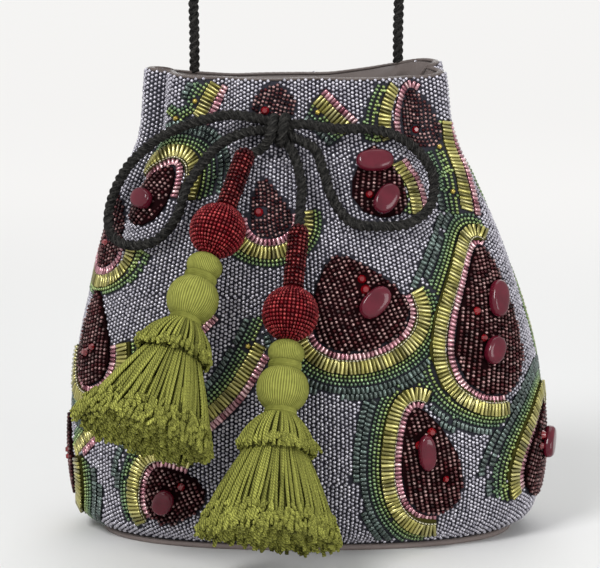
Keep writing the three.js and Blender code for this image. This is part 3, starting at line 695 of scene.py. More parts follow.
def add_camera():
    """The photograph's camera."""
    camera = link("camera", bpy.data.cameras.new("camera"))
    camera.data.sensor_width = SENSOR
    camera.data.lens = SENSOR * FOCAL_WIDTHS
    look = np.array((0, np.cos(CAMERA_RISE), -np.sin(CAMERA_RISE)))
    aim(camera, CAMERA_AIM - CAMERA_DISTANCE * look, CAMERA_AIM)
    bpy.context.scene.camera = camera


def aim(thing, place, target):
    """Puts a lamp or camera at a place, looking at a target with its top upwards."""
    back = unit(place - target)
    right = unit(np.cross((0, 0, 1), back))
    turn = np.eye(4)
    turn[:3, :3] = np.column_stack([right, np.cross(back, right), back])
    turn[:3, 3] = place
    thing.matrix_world = Matrix(turn.tolist())


bpy.context.scene.view_settings.view_transform = "Standard"
add_floor()
add_world()
add_lamps()
add_camera()


# Cords


def distance_along(points):
    """Distance from the first of a line of points to each of them."""
    return np.concatenate([[0], np.cumsum(np.linalg.norm(np.diff(points, axis=0), axis=1))])


def even_path(points, pitch):
    """A curve through points, as points a pitch apart along it."""
    fine = spline(points, np.linspace(0, 1, 60 * len(points)))
    length = distance_along(fine)
    stops = np.linspace(0, length[-1], max(4, int(round(length[-1] / pitch))))
    return np.stack([np.interp(stops, length, fine[:, k]) for k in range(3)], -1), length[-1]


def carried_axes(path):
    """Two unit vectors square to a path at each point, turned as little as possible along it."""
    tangent = unit(np.gradient(path, axis=0))
    side = np.empty_like(path)
    across = np.array((0.31, 0.52, 0.79))
    for i, direction in enumerate(tangent):
        across = unit(across - direction * (across @ direction))
        side[i] = across
    return side, np.cross(tangent, side)


def rope(name, points, slot_nodes):
    """Three plies twisted along a path: at each ring the radius is the outline of three round plies."""
    path, length = even_path(points, CORD_STEP)
    side, other = carried_axes(path)
    along = np.linspace(0, length, len(path))[:, None]
    turn = circle(CORD_SIDES)[None]
    ply = np.mod(turn - 2 * np.pi * along / CORD_PITCH, 2 * np.pi / 3) - np.pi / 3
    centre, half = PLY_OFFSET * CORD_RADIUS, (1 - PLY_OFFSET) * CORD_RADIUS
    radius = centre * np.cos(ply) + np.sqrt(np.maximum(half**2 - (centre * np.sin(ply)) ** 2, 0))
    ends = np.minimum(along, length - along)
    radius = radius * np.sqrt(np.clip(ends / CORD_END, 0.05, 1))
    outward = np.cos(turn)[..., None] * side[:, None] + np.sin(turn)[..., None] * other[:, None]
    uv = np.stack(np.broadcast_arrays(ply * 3, along / MM), -1)
    quads, *caps = closed_faces(len(path), CORD_SIDES)
    rings = path[:, None] + radius[..., None] * outward
    piece = add_piece(name, rings, [quads[:, ::-1], *caps], CORD, uv=uv)
    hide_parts(*slot_nodes)


JOINTS = {joint["name"]: joint for joint in frame["record"]["behaviour"]["joints"]}
LEFT_HINGE = np.array(JOINTS["left_tassel_swing"]["pos_m"])
RIGHT_HINGE = np.array(JOINTS["right_tassel_swing"]["pos_m"])
KNOT = over_crests([(KNOT_ANGLE, KNOT_HEIGHT / MM)], KNOT_LIFT)[0]


def strap_route():
    """Up from one peak of the rim, over in half an ellipse, and down to the other peak."""
    foot = wall(np.array((STRAP_ANGLE, np.pi - STRAP_ANGLE)), np.ones(2), BINDING_DEPTH)
    spring = foot[:, 2].max() + STRAP_STRAIGHT
    turn = np.linspace(0, np.pi, 9)[:, None]
    arch = foot[0] + (foot[1] - foot[0]) * (1 - np.cos(turn)) / 2
    arch[:, 2] = spring + STRAP_ARCH * np.sin(turn[:, 0])
    half_way = foot.copy()
    half_way[:, 2] = (foot[:, 2] + spring) / 2
    return np.vstack([foot[0], half_way[0], arch, half_way[1], foot[1]])


def knot_route():
    """The left end of the cord: round the crossing from right to left, then down to its tassel."""
    wrap = KNOT + np.column_stack([
        np.linspace(*KNOT_SIDES, len(KNOT_TURNS)),
        -KNOT_HALF_DEPTH * np.cos(KNOT_TURNS),
        KNOT_HALF_HEIGHT * np.sin(KNOT_TURNS),
    ])
    tail = over_crests(LEFT_TAIL[1:], CORD_RADIUS + CORD_LIFT)
    return np.vstack([wrap, tail, LEFT_HINGE])


def add_cords():
    """The shoulder cord, the two loops of the bow and the two tails, one of which ties the knot."""
    lift = CORD_RADIUS + CORD_LIFT
    rope("shoulder_rope", strap_route(), ["shoulder_cord"])
    rope("left_bow_rope", over_crests(LEFT_LOOP, lift), ["bow_loop_left"])
    rope("right_bow_rope", over_crests(RIGHT_LOOP, lift), ["bow_loop_right"])
    rope("right_tail_rope", np.vstack([over_crests(RIGHT_TAIL, lift), RIGHT_HINGE]), ["right_tail_cord"])
    rope("knot_and_left_tail_rope", knot_route(), ["bow_knot", "left_tail_cord"])


add_cords()


# Cloth


def add_cloth():
    """Backing cloth under the beads: the wall moved in, with an inner face, closed at hem and rim."""
    angle = circle(CLOTH_COLUMNS)[None]
    place = np.linspace(0, 1, CLOTH_ROWS)[:, None]
    outer = wall(angle, place, CLOTH_DEPTH)
    inner = wall(angle, place, CLOTH_DEPTH + CLOTH_THICKNESS)[::-1]
    shell = np.concatenate([outer, inner])
    faces = grid_faces(len(shell), CLOTH_COLUMNS, wrap_rows=True)
    piece = add_piece("backing_cloth", shell, [faces], BACKING)
    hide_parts("beaded_shell")


def lining_rows(inset):
    """The lining's wall: inside the gathers, clear of the drawstring at the neck, gathered at the rim."""
    angle = circle(CLOTH_COLUMNS)[None]
    place = np.linspace(LINING_START, 1, LINING_ROWS)[:, None]
    height = spline(STATIONS, place)[..., 2]
    at_rim = smooth_step(height, KNOT[2] + RIM_TUCK, RIM_HEIGHT)
    at_cord = 1 - smooth_step(np.abs(height - KNOT[2]), *CHANNEL_REACH)
    depth = LINING_DEPTH + VALLEY * gather_share(height) * (1 - at_rim) + CHANNEL_DEPTH * at_cord
    crease = CREASE_DEPTH * np.sin(23 * angle + 9 * place) * np.sin(7 * angle - 14 * place)
    return wall(angle, place, depth + inset + crease, at_rim)


def add_lining():
    """Thin cup of satin: its wall, a floor drawn in to the middle, and the same inside out."""
    share = np.linspace(0.04, 0.97, LINING_FLOOR_ROWS)[:, None, None]
    shells = []
    for inset in (0.0, LINING_THICKNESS):
        rows = lining_rows(inset)
        level = LINING_FLOOR + inset
        floor = rows[0] * share
        floor[..., 2] = level + (rows[0, :, 2] - level) * share[..., 0] ** 9
        shells.append(np.concatenate([floor, rows]))
    cup = np.concatenate([shells[0], shells[1][::-1]])
    faces = grid_faces(len(cup), CLOTH_COLUMNS, wrap_rows=True)
    piece = add_piece("satin_lining", cup, [faces], SATIN)
    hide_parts("lining")


def add_binding():
    """Rolled strip round the mouth: a rounded section carried along the rim, with stitch dents."""
    angle, turn = circle(BINDING_COLUMNS)[:, None], circle(BINDING_SIDES)[None]
    puff = 1 + STITCH_DENT * np.sin(STITCHES * angle)
    path = wall(angle, np.ones_like(angle), BINDING_DEPTH)
    out = unit((wall(angle, np.ones_like(angle), BINDING_DEPTH - MM) - path) * (1, 1, 0))
    strip = path + out * (BINDING_HALF[0] * np.cos(turn) * puff)[..., None]
    strip[..., 2] = path[..., 2] + BINDING_HALF[1] * (BINDING_SEAT + np.sin(turn) * puff)
    faces = grid_faces(BINDING_COLUMNS, BINDING_SIDES, wrap_rows=True)[:, ::-1]
    piece = add_piece("satin_binding", strip, [faces], SATIN)
    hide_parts("rim_binding")


def add_base():
    """Base panel: a soft-edged oval, its rounded edge carried round the hem, closed above and below."""
    angle = circle(SOLE_COLUMNS)[None]
    half = BASE_PANEL_THICKNESS / 2
    turn = np.linspace(-np.pi / 2, np.pi / 2, SOLE_EDGE_ROWS)
    inset = np.concatenate([SOLE_INSETS, half * (1 - np.cos(turn)), SOLE_INSETS[::-1]])[:, None]
    rows = wall(angle, np.zeros_like(angle), inset)
    rows[..., 2] = np.concatenate([[0, 0], half * (1 + np.sin(turn)), [2 * half] * 2])[:, None]
    piece = add_piece("base_sole", rows, closed_faces(len(rows), SOLE_COLUMNS), SOLE)
    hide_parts("base_panel")


add_cloth()
add_lining()
add_binding()
add_base()
FINISHES = {"base_board": CARD, "bead_pod": MAROON_FELT, "bugle_band": OLIVE_FELT}
for node, piece in frame["nodes"].items():
    finish = next((look for start, look in FINISHES.items() if node.startswith(start)), CORD)
    piece.data.materials.clear()
    piece.data.materials.append(finish)


# Beads: a few shapes, each copied to many places


def seed_shape(sides=5):
    """Rounded bead: a wide ring, a narrower ring above, a crown point and a flat foot."""
    turn, corner = circle(sides), np.arange(sides)
    points = np.vstack([ring(turn, 0.92, -0.9), ring(turn, 0.78, 0.5), [(0, 0, 0.85)]])
    crown = np.stack([sides + corner, sides + (corner + 1) % sides, np.full(sides, 2 * sides)], -1)
    return points, [grid_faces(2, sides), crown, corner[None, ::-1]]


def bugle_shape(sides=6):
    """Tube bead: a prism along its first axis, with flat ends."""
    turn = circle(sides) + np.pi / sides
    rings = [ring(turn, radius, x) for x, radius in ((-1, 0.85), (-0.9, 1), (0.9, 1), (1, 0.85))]
    return np.vstack(rings)[:, [2, 0, 1]], closed_faces(len(rings), sides)


def crystal_shape(sides=8):
    """Cut crystal: a table, a girdle turned by half a facet and a lower girdle, with flat facets."""
    turn = circle(sides)
    rings = [ring(turn, 0.6, -0.8), ring(turn + np.pi / sides, 1, 0), ring(turn, 0.55, 0.75)]
    return np.vstack(rings), closed_faces(len(rings), sides)


def copies(shape, places, axes, sizes):
    """Points and faces of one shape copied to each place, along its own axes and at its own size."""
    template, face_sets = shape
    points = places[:, None] + np.einsum("kc,ncd->nkd", template, axes * sizes[:, :, None])
    step = len(template) * np.arange(len(places))[:, None, None]
    return points, [(f[None] + step).reshape(-1, f.shape[1]) for f in face_sets]


def lit_tint(shape, colours, painted_glint):
    """Colour of each point: painted shade dims it towards the bead's foot, and a painted highlight lies on its
    crown by the cube of the height.
    """
    crown = np.clip(shape[0][:, 2] / shape[0][:, 2].max(), 0, 1)
    # shine: how strong each bead's painted highlight is.
    shine = RANDOM.uniform(0, 1, len(colours))[:, None, None] ** 2
    dim = FOOT_SHADE + (1 - FOOT_SHADE) * crown
    return colours[:, None] * dim[:, None] + shine * crown[:, None] ** 3 * np.asarray(painted_glint)


class Sewn:
    """Beads set out on the wall: angle, height, heading, rise, half sizes and colour of each."""

    def __init__(self):
        self.rows = []

    def add(self, angle, height, heading, rise, sizes, colours):
        """Beads at angles and heights; what is the same for all of them is given once."""
        count = len(angle)
        sizes = np.broadcast_to(sizes, (count, 3))
        colours = np.broadcast_to(colours, (count, 3))
        rise = np.broadcast_to(rise, count)
        self.rows.append(np.column_stack([angle, height, heading, rise, sizes, colours]))

    def piece(self, name, shape, material, slot, painted_glint=(0, 0, 0), flat=False, keep=None):
        """All the beads as one mesh, each with painted shade darkening it to its foot and, for most kinds, its
        own painted highlight on its crown.
        """
        rows = np.concatenate(self.rows)
        if keep is not None:
            rows = rows[keep(rows)]
        angle, height, heading, rise = rows[:, :4].T
        sizes, colours = rows[:, 4:7], rows[:, 7:]
        place = place_at(height)
        east, north, out, _, _ = wall_axes(angle, place)
        along = east * np.cos(heading)[:, None] + north * np.sin(heading)[:, None]
        axes = np.stack([along, np.cross(out, along), out], 1)
        points, faces = copies(shape, wall(angle, place) + out * rise[:, None], axes, sizes)
        tint = lit_tint(shape, colours, painted_glint)
        add_piece(name, points, faces, material, tint=tint, flat=flat)


# A map of the wall in small cells, marked where a bead already lies
CELLS = (1000, 500)
TAKEN = np.zeros(CELLS, bool)
DISC = np.stack(np.meshgrid(np.linspace(-1, 1, 13), np.linspace(-1, 1, 13)), -1).reshape(-1, 2)
DISC = DISC[np.hypot(*DISC.T) <= 1]


def cells(angle, height):
    """Cell of the map for each angle and height."""
    column = np.mod(np.floor(angle / (2 * np.pi) * CELLS[0]).astype(int), CELLS[0])
    row = np.clip(np.floor(height / RIM_HEIGHT * CELLS[1]).astype(int), 0, CELLS[1] - 1)
    return column, row


def metric(angle, height, gathered=1.0):
    """Metres on the wall for a radian round it and for a metre of height."""
    place = place_at(height)
    _, _, _, around, upward = wall_axes(angle, place, gathered)
    slope = (place_at(height + MM) - place_at(height - MM)) / (2 * MM)
    return around, np.maximum(upward * slope, 1.0)


def is_free(angle, height):
    """Which places have no bead yet."""
    return ~TAKEN[cells(angle, height)]


def take(angle, height, reach):
    """Marks a disc of the map round each bead."""
    around, rise = (scale[:, None] for scale in metric(angle, height))
    spots = DISC[None] * np.broadcast_to(reach, angle.shape)[:, None, None]
    TAKEN[cells(angle[:, None] + spots[..., 0] / around, height[:, None] + spots[..., 1] / rise)] = True


def row_along(angle, height, pitch):
    """Places about a pitch apart, evenly from end to end of a line on the wall, with their headings."""
    around, rise = metric(angle, height)
    east, north = np.gradient(angle) * around, np.gradient(height) * rise
    run = np.concatenate([[0], np.cumsum(np.hypot(east, north)[1:])])
    count = max(int(round(run[-1] / pitch)), 1)
    stops = (np.arange(count) + 0.5) / count * run[-1]
    heading = np.unwrap(np.arctan2(north, east))
    return tuple(np.interp(stops, run, values) for values in (angle, height, heading))


def shades(count, low, high, contrast=1.0):
    """Random colours between two, one for each bead, with an occasional bright or dark one."""
    share = np.clip(0.5 + contrast * RANDOM.normal(0, 0.27, count), 0, 1)[:, None]
    return np.asarray(low) * (1 - share) + np.asarray(high) * share


GREY = ((0.264, 0.252, 0.300), (0.593, 0.569, 0.635))
GARNET = ((0.010, 0.002, 0.003), (0.075, 0.012, 0.015))
PINK = ((0.17, 0.04, 0.06), (0.58, 0.27, 0.32))
CREAM = ((0.42, 0.39, 0.24), (0.72, 0.68, 0.52))
OLIVE = ((0.085, 0.075, 0.010), (0.42, 0.38, 0.10))
LEAF = (
    ((0.10, 0.15, 0.035), (0.34, 0.42, 0.13)), ((0.055, 0.10, 0.035), (0.22, 0.32, 0.13)),
    ((0.030, 0.065, 0.035), (0.13, 0.21, 0.12)),
)
DARK_LEAF = ((0.016, 0.026, 0.023), (0.075, 0.10, 0.09))
GOLD = ((0.30, 0.22, 0.03), (0.55, 0.42, 0.08))
CRIMSON = ((0.070, 0.002, 0.005), (0.20, 0.006, 0.012))
STEM_RED = ((0.013, 0.001, 0.002), (0.045, 0.002, 0.004))
# Painted highlights: colour added to the crown of each kind of bead, stronger on some beads than on others.
GREY_PAINTED_GLINT = (0.25, 0.25, 0.26)
GARNET_PAINTED_GLINT = (0.60, 0.40, 0.38)
PALE_PAINTED_GLINT = (0.50, 0.45, 0.42)
OLIVE_PAINTED_GLINT = (0.42, 0.39, 0.20)
LEAF_PAINTED_GLINT = (0.19, 0.28, 0.15)
TEAL_PAINTED_GLINT = (0.13, 0.18, 0.16)
CRIMSON_PAINTED_GLINT = (0.46, 0.09, 0.085)

garnet, edges, creams, bugles, leaves, dark_leaves, ground, golds, crystals = (Sewn() for _ in range(9))


def pod_place(pod, x, y):
    """Angle and height of a place in metres on a pod, turned by its tilt."""
    angle, height, turn = np.radians(pod.angle), pod.height * MM, np.radians(pod.tilt)
    around, rise = metric(np.array([angle]), np.array([height]), 0.0)
    east, north = x * np.cos(turn) - y * np.sin(turn), x * np.sin(turn) + y * np.cos(turn)
    return angle + east / around, height + north / rise


def to_right(east, north, offset):
    """How far east and north a line moves when it moves to its right by offset."""
    length = np.hypot(east, north)
    return offset * north / length, -offset * east / length


def pod_line(pod, offset):
    """A pod's banded outline, a drop that narrows upwards, moved outwards by offset."""
    turn = np.radians(np.linspace(*pod.band, 400))
    x = pod.half_width * MM * np.cos(turn) * (1 - POD_TAPER * np.sin(turn))
    y = pod.half_height * MM * np.sin(turn)
    east, north = to_right(np.gradient(x), np.gradient(y), offset)
    return pod_place(pod, x + east, y + north)


def vine_line(points, offset):
    """A curve through angles and heights, moved to its right by offset on the wall."""
    line = spline(np.array(points, float), np.linspace(0, 1, 300))
    angle, height = np.radians(line[:, 0]), line[:, 1] * MM
    around, rise = metric(angle, height)
    east, north = to_right(np.gradient(angle) * around, np.gradient(height) * rise, offset)
    return angle + east / around, height + north / rise


def sew(kind, angle, height, heading, rise, sizes, colours, reach):
    """Adds the beads that still find room, marks their places and gives them."""
    room = is_free(angle, height) & (height > 4 * MM) & (height < RIM_HEIGHT - 1.2 * MM)
    colours = np.broadcast_to(colours, (len(angle), 3))
    if room.any():
        kind.add(angle[room], height[room], heading[room], rise, sizes, colours[room])
        take(angle[room], height[room], reach)
    return angle[room], height[room]


def long_runs(room):
    """The same truths, without runs of them that are too short to look sewn as a row."""
    change = np.flatnonzero(np.diff(np.concatenate([[0], room.astype(int), [0]])))
    kept = np.zeros(len(room), bool)
    for start, end in zip(change[::2], change[1::2]):
        kept[start:end] = end - start >= SHORTEST_RUN
    return kept


def sew_bugles(kind, line, half_length, pitch, rise, colours, jitter=0.06):
    """Tube beads side by side across a line, where all of each finds room; gives their places."""
    a, h, way = row_along(*line, pitch)
    room = (h > 5 * MM) & (h < RIM_HEIGHT - 1.5 * MM)
    for side in (-0.6, 0, 0.8):
        room &= is_free(*row_shift(a, h, way, side * half_length))
    room = long_runs(room)
    a, h, way = a[room], h[room], way[room]
    count = len(a)
    if count:
        lengths = half_length * RANDOM.normal(1, 0.03, count)
        size = np.column_stack([lengths, np.full(count, 0.5 * pitch), np.full(count, BUGLE_RADIUS)])
        turn = way + np.pi / 2 + RANDOM.normal(0, jitter, count)
        kind.add(a, h, turn, rise + RANDOM.normal(0, 0.06 * MM, count), size, shades(count, *colours, 1.25))
        for side in np.linspace(-1, 1, 5):
            take(*row_shift(a, h, way, side * (half_length - 0.7 * MM)), TUBE_REACH)
    return a, h, way


def sew_rind(line_at, rise):
    """A line of work: pink tubes, a fine cream row and olive tubes, side by side across the line."""
    sew_bugles(edges, line_at(PINK_ROW), *PINK_TUBE, FLAT_RISE + 0.2 * MM, PINK)
    a, h, way = sew_bugles(bugles, line_at(EDGE_ROW + BUGLE_LENGTH / 2), *OLIVE_TUBE, rise, OLIVE)
    if len(a):
        inner = row_shift(a, h, way, -BUGLE_LENGTH / 2 - 0.2 * MM)
        creams.add(*inner, way, rise - 0.1 * MM, SEED_SIZE * (0.85, 0.5, 0.6), shades(len(a), *CREAM))


def trimmed(line, share):
    """A line without a share of its points at either end."""
    trim = int(len(line[0]) * share)
    return tuple(values[trim : len(values) - trim] for values in line)


def sew_leaves(line_at, rows, dark_rows):
    """Outside the olive tubes: rows of leaf beads that deepen outwards, then short dark tubes.

    Beads of half rows fill in where the folds spread the rows apart.
    """
    sewn = []
    for k in (*range(rows), *(np.arange(rows + 1) - 0.5)):
        a, h, way = row_along(*trimmed(line_at(LEAF_ROW + SEED * k), 0.02 * max(k, 0)), SEED)
        size, colours = SEED_SIZE * (1.12, 0.94, 1), shades(len(a), *LEAF[max(int(k), 0)])
        sewn.append(sew(leaves, a, h, way + np.pi / 2, FLAT_RISE + 0.25 * MM, size, colours, LEAF_GAP))
    for a, h in sewn:
        take(a, h, LEAF_REACH)
    for k in range(dark_rows):
        line = line_at(LEAF_ROW + SEED * rows + DARK_ROW + DARK_STEP * k)
        line = trimmed(line, 0.06 + 0.08 * k)
        sew_bugles(dark_leaves, line, *DARK_TUBE, FLAT_RISE + 0.1 * MM, DARK_LEAF, 0.18)


def row_shift(angle, height, heading, offset):
    """Places moved to the right of their heading by offset."""
    around, rise = metric(angle, height)
    return angle + offset * np.sin(heading) / around, height - offset * np.cos(heading) / rise


def sew_stones():
    """Polished oval stones on their pods: a flat foot, a full girdle and a low crown."""
    turn = circle(STONE_COLUMNS)[None]
    oval = lambda value: np.sign(value) * np.abs(value) ** STONE_SQUARENESS
    share, lift = STONE_WIDTHS[:, None], STONE_LIFTS[:, None] * STONE_HEIGHT
    for i, (name, along, up, half_length, half_width, tilt) in enumerate(STONES):
        pod = PODS[name]
        angle, height = pod_place(pod, np.array([along * MM]), np.array([up * MM]))
        place = place_at(height)
        east, north, out, _, _ = wall_axes(angle, place)
        heading = np.radians(pod.tilt + tilt)
        length = east[0] * np.cos(heading) + north[0] * np.sin(heading)
        width = np.cross(out[0], length)
        middle = raised(angle, place, np.array([STONE_SEAT]))[0]
        x = (share * half_length * MM * oval(np.cos(turn)))[..., None]
        y = (share * half_width * MM * oval(np.sin(turn)))[..., None]
        points = middle + x * length + y * width + lift[..., None] * out[0]
        faces = closed_faces(len(share), STONE_COLUMNS)
        piece = add_piece(f"wine_stone_{i + 1}", points, faces, STONE)
        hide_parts(f"oval_stone_{i + 1}")
        spots = np.linspace(-0.7, 0.7, 5) * half_length * MM
        around, rise = metric(angle, height)
        spots = (angle + spots * np.cos(heading) / around, height + spots * np.sin(heading) / rise)
        take(*spots, half_width * 0.9 * MM)


def pod_inside(pod, x, y, margin):
    """Which places lie inside a pod's outline by a margin."""
    half_width, half_height = pod.half_width * MM, pod.half_height * MM
    share = np.clip(y / half_height, -1, 1)
    edge = half_width * np.sqrt(1 - share**2) * (1 - POD_TAPER * share)
    return (np.abs(y) < half_height - margin) & (np.abs(x) < edge - margin)


def sew_field(pod, rise, pitch):
    """A dark red field in close columns that bend a little, with a few cut crystals among them.

    Beads of half columns fill in where the folds spread the columns apart.
    """
    half_width, half_height = pod.half_width * MM, pod.half_height * MM
    for _ in range(int(1 + half_width * half_height / CRYSTAL_AREA)):
        turn, away = RANDOM.uniform(0, 2 * np.pi), RANDOM.uniform(0.3, 0.72)
        size = RANDOM.uniform(*CRYSTAL_SIZES) * MM
        along, up = away * half_width * np.cos(turn), away * half_height * np.sin(turn)
        a, h = pod_place(pod, np.array([along]), np.array([up]))
        if is_free(a, h).all() and h[0] < RIM_HEIGHT - 4 * MM:
            crystals.add(a, h, np.array([turn]), rise + 0.35 * MM, (size, size, size), (1, 1, 1))
            take(a, h, size + 0.5 * MM)
    before, reach = TAKEN.copy(), GRID_WIDTH * MM
    for shift in (0, pitch / 2):
        columns = np.arange(-reach, reach, pitch) + shift
        rows = np.arange(-GRID_HEIGHT, GRID_HEIGHT, FIELD_STEP)
        x, y = np.meshgrid(columns, rows * MM)
        y = y + RANDOM.uniform(-0.6, 0.6, x.shape[1]) * MM
        x = x + FIELD_BEND * np.sin(y / half_height * 2.2)
        inside = pod_inside(pod, x, y, FIELD_MARGIN)
        a, h = pod_place(pod, x[inside], y[inside])
        way = np.full(len(a), np.pi / 2 + np.radians(pod.tilt))
        size, colours = SEED_SIZE * (1.02, 1.06, 1.1), shades(len(a), *GARNET, 1.2)
        sew(garnet, a, h, way, rise, size, colours, FIELD_GAP)
    TAKEN[:] = before
    columns, rows = (np.arange(-half, half, FINE_GRID) for half in (GRID_WIDTH, GRID_HEIGHT))
    x, y = np.meshgrid(columns * MM, rows * MM)
    inside = pod_inside(pod, x, y, 0)
    TAKEN[cells(*pod_place(pod, x[inside], y[inside]))] = True


def sew_fields(pods, rise, rind_rise, rows, dark_rows, pitch):
    """Fields first, then the rinds of those that have one, then the leaf rows outside them."""
    lines = [partial(pod_line, pod) for pod in pods if pod.band]
    for pod in pods:
        sew_field(pod, rise, pitch)
    for line_at in lines:
        sew_rind(line_at, rind_rise)
    for line_at in lines:
        sew_leaves(line_at, rows, dark_rows)


def sew_vines():
    """Winding bands of tubes with leaf beads along them, and pairs of gold beads beside them."""
    for points in VINES:
        line_at = partial(vine_line, points)
        sew_rind(line_at, FLAT_RISE + 0.1 * MM)
        angle, height = line_at(GOLD_ROW)
        for k in GOLD_STOPS:
            gold = (angle[k : k + 1], height[k : k + 1], np.zeros(1))
            sew(golds, *gold, 0.5 * MM, np.full(3, GOLD_RADIUS), shades(1, *GOLD), GOLD_REACH)
        sew_leaves(line_at, 3, 1)


def sew_ground():
    """Grey beads in columns up the wall, evenly spaced at the middle of each zone of heights."""
    place = np.linspace(0, WALL_END, 400)
    meridian = wall(np.full(400, -np.pi / 2), place)
    run = distance_along(meridian)
    zones = np.interp(GROUND_ZONES, meridian[:, 2] / MM, run)
    fine = np.linspace(0, 2 * np.pi, 1441)
    for low, high in zip(zones[:-1], zones[1:]):
        girth = distance_along(wall(fine, np.interp((low + high) / 2, run, place)))
        columns = 2 * int(girth[-1] / SEED / 2)
        angle = np.interp((np.arange(columns) + 0.5) / columns * girth[-1], girth, fine)
        rows = int(round((high - low) / GROUND_ROW))
        stops = low + (np.arange(rows) + 0.5) / rows * (high - low)
        a, s = np.meshgrid(angle, stops)
        s = s + GROUND_ROW / 2 * (np.arange(columns) % 2 - 0.5) + RANDOM.normal(0, 0.06 * SEED, s.shape)
        a = (a + RANDOM.normal(0, GROUND_STRAY, a.shape)).ravel()
        h = np.interp(np.interp(s.ravel(), run, place), PLACE_TABLE, HEIGHT_TABLE)
        room = is_free(a, h) & (h > 3.4 * MM) & (h < RIM_HEIGHT + BEADS_OVER_RIM)
        a, h = a[room], h[room]
        way = np.pi / 2 + RANDOM.normal(0, 0.15, len(a))
        rise = FLAT_RISE + RANDOM.normal(0, 0.08 * MM, len(a))
        ground.add(a, h, way, rise, SEED_SIZE, shades(len(a), *GREY, 1.05))


def in_quarter(quarter, rows):
    """Which rows of beads lie in a quarter of the way round, counted from the left."""
    turn = np.arctan2(np.sin(rows[:, 0]), np.cos(rows[:, 0]))
    start = -np.pi + quarter * np.pi / 2
    return (turn >= start) & (turn < start + np.pi / 2)


sew_stones()
sew_fields(PODS.values(), FIELD_RISE, FIELD_RISE, 3, 2, FIELD_PITCH)
sew_fields(PATCHES, FLAT_RISE + 0.2 * MM, FLAT_RISE + 0.1 * MM, 2, 0, PATCH_PITCH)
sew_vines()
sew_ground()
SEED_FORM, BUGLE_FORM = seed_shape(), bugle_shape()
garnet.piece("garnet_field_beads", SEED_FORM, DEEP_GLASS, "garnet_beads", GARNET_PAINTED_GLINT)
bugles.piece("olive_bugle_beads", BUGLE_FORM, BUGLE_GLASS, "olive_beads", OLIVE_PAINTED_GLINT)
edges.piece("pink_edge_bugles", BUGLE_FORM, BUGLE_GLASS, "garnet_beads", PALE_PAINTED_GLINT)
creams.piece("cream_edge_beads", SEED_FORM, SEED_GLASS, "garnet_beads")
dark_leaves.piece("dark_leaf_bugles", BUGLE_FORM, SEED_GLASS, "olive_beads", TEAL_PAINTED_GLINT)
leaves.piece("green_leaf_beads", SEED_FORM, SEED_GLASS, "olive_beads", LEAF_PAINTED_GLINT)
golds.piece("gold_round_beads", SEED_FORM, BUGLE_GLASS, "olive_beads")
crystals.piece("red_crystals", crystal_shape(), CRYSTAL, "wine_glass", flat=True)
QUARTERS = ("front_left", "front_right", "back_right", "back_left")
for quarter, name in enumerate(QUARTERS):
    keep = partial(in_quarter, quarter)
    ground.piece(f"grey_ground_beads_{name}", SEED_FORM, SEED_GLASS, "grey_beads", GREY_PAINTED_GLINT, keep=keep)


# Tassels


def tassel_axes(side):
    """Hinge and unit vectors of a tassel: across, outwards and down its axis, from its joint and its ball."""
    joint = JOINTS[f"{side}_tassel_swing"]
    hinge, across = np.array(joint["pos_m"]), unit(np.array(joint["axis"], float))
    low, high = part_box(f"{side}_tassel_ball")
    down = (np.array(low) + np.array(high)) / 2 - hinge
    down = unit(down - across * (down @ across))
    return hinge, across, np.cross(across, down), down


def on_tassel(axes, across, outward, down):
    """A point from its distances across, outwards and down the tassel."""
    hinge, x, y, z = axes
    return hinge + across[..., None] * x + outward[..., None] * y + down[..., None] * z


def turned_piece(name, axes, radius, down, material, slot, body, nodes=(), columns=48, uv_turns=1.0):
    """A profile of radius and depth turned about the tassel's axis, closed at both ends."""
    turn = circle(columns)[None]
    radius = np.reshape(radius, (len(down), -1))
    down = np.repeat(down, columns).reshape(-1, columns)
    points = on_tassel(axes, radius * np.cos(turn), radius * np.sin(turn), down)
    uv = np.stack(np.broadcast_arrays(uv_turns * turn / (2 * np.pi), down / (10 * MM)), -1)
    piece = add_piece(name, points, closed_faces(len(down), columns), material, body=body, uv=uv)
    if nodes:
        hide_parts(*nodes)


def beads_about(axes, radius, down, counts, slope, size):
    """Rings of seed beads about the axis: places, axes and sizes of all of them."""
    ring = np.repeat(np.arange(len(counts)), counts)
    index = np.concatenate([np.arange(n) for n in counts])
    turn = 2 * np.pi * index / np.asarray(counts)[ring]
    r, d, tilt = np.asarray(radius)[ring], np.asarray(down)[ring], np.asarray(slope)[ring]
    _, x, y, z = axes
    radial = np.cos(turn)[:, None] * x + np.sin(turn)[:, None] * y
    out = radial * np.cos(tilt)[:, None] + z * np.sin(tilt)[:, None]
    around = -np.sin(turn)[:, None] * x + np.cos(turn)[:, None] * y
    places = on_tassel(axes, r * np.cos(turn), r * np.sin(turn), d)
    spacing = np.minimum(1.1 * np.pi * r / np.asarray(counts)[ring], size * 1.1)
    sizes = np.column_stack([spacing, np.full(len(r), size), np.full(len(r), size)])
    return places, np.stack([around, np.cross(out, around), out], 1), sizes


def bead_cover(name, axes, rings, body, nodes, colours):
    """Beads of one finish over a turned core, standing for its solids."""
    places, turned, sizes = beads_about(axes, *rings)
    points, faces = copies(SEED_FORM, places, turned, sizes)
    # Painted shade at each bead's foot and a painted highlight on its crown.
    tint = lit_tint(SEED_FORM, shades(len(places), *colours, 1.1), CRIMSON_PAINTED_GLINT)
    piece = add_piece(name, points, faces, DEEP_GLASS, body=body, tint=tint)
    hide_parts(*nodes)


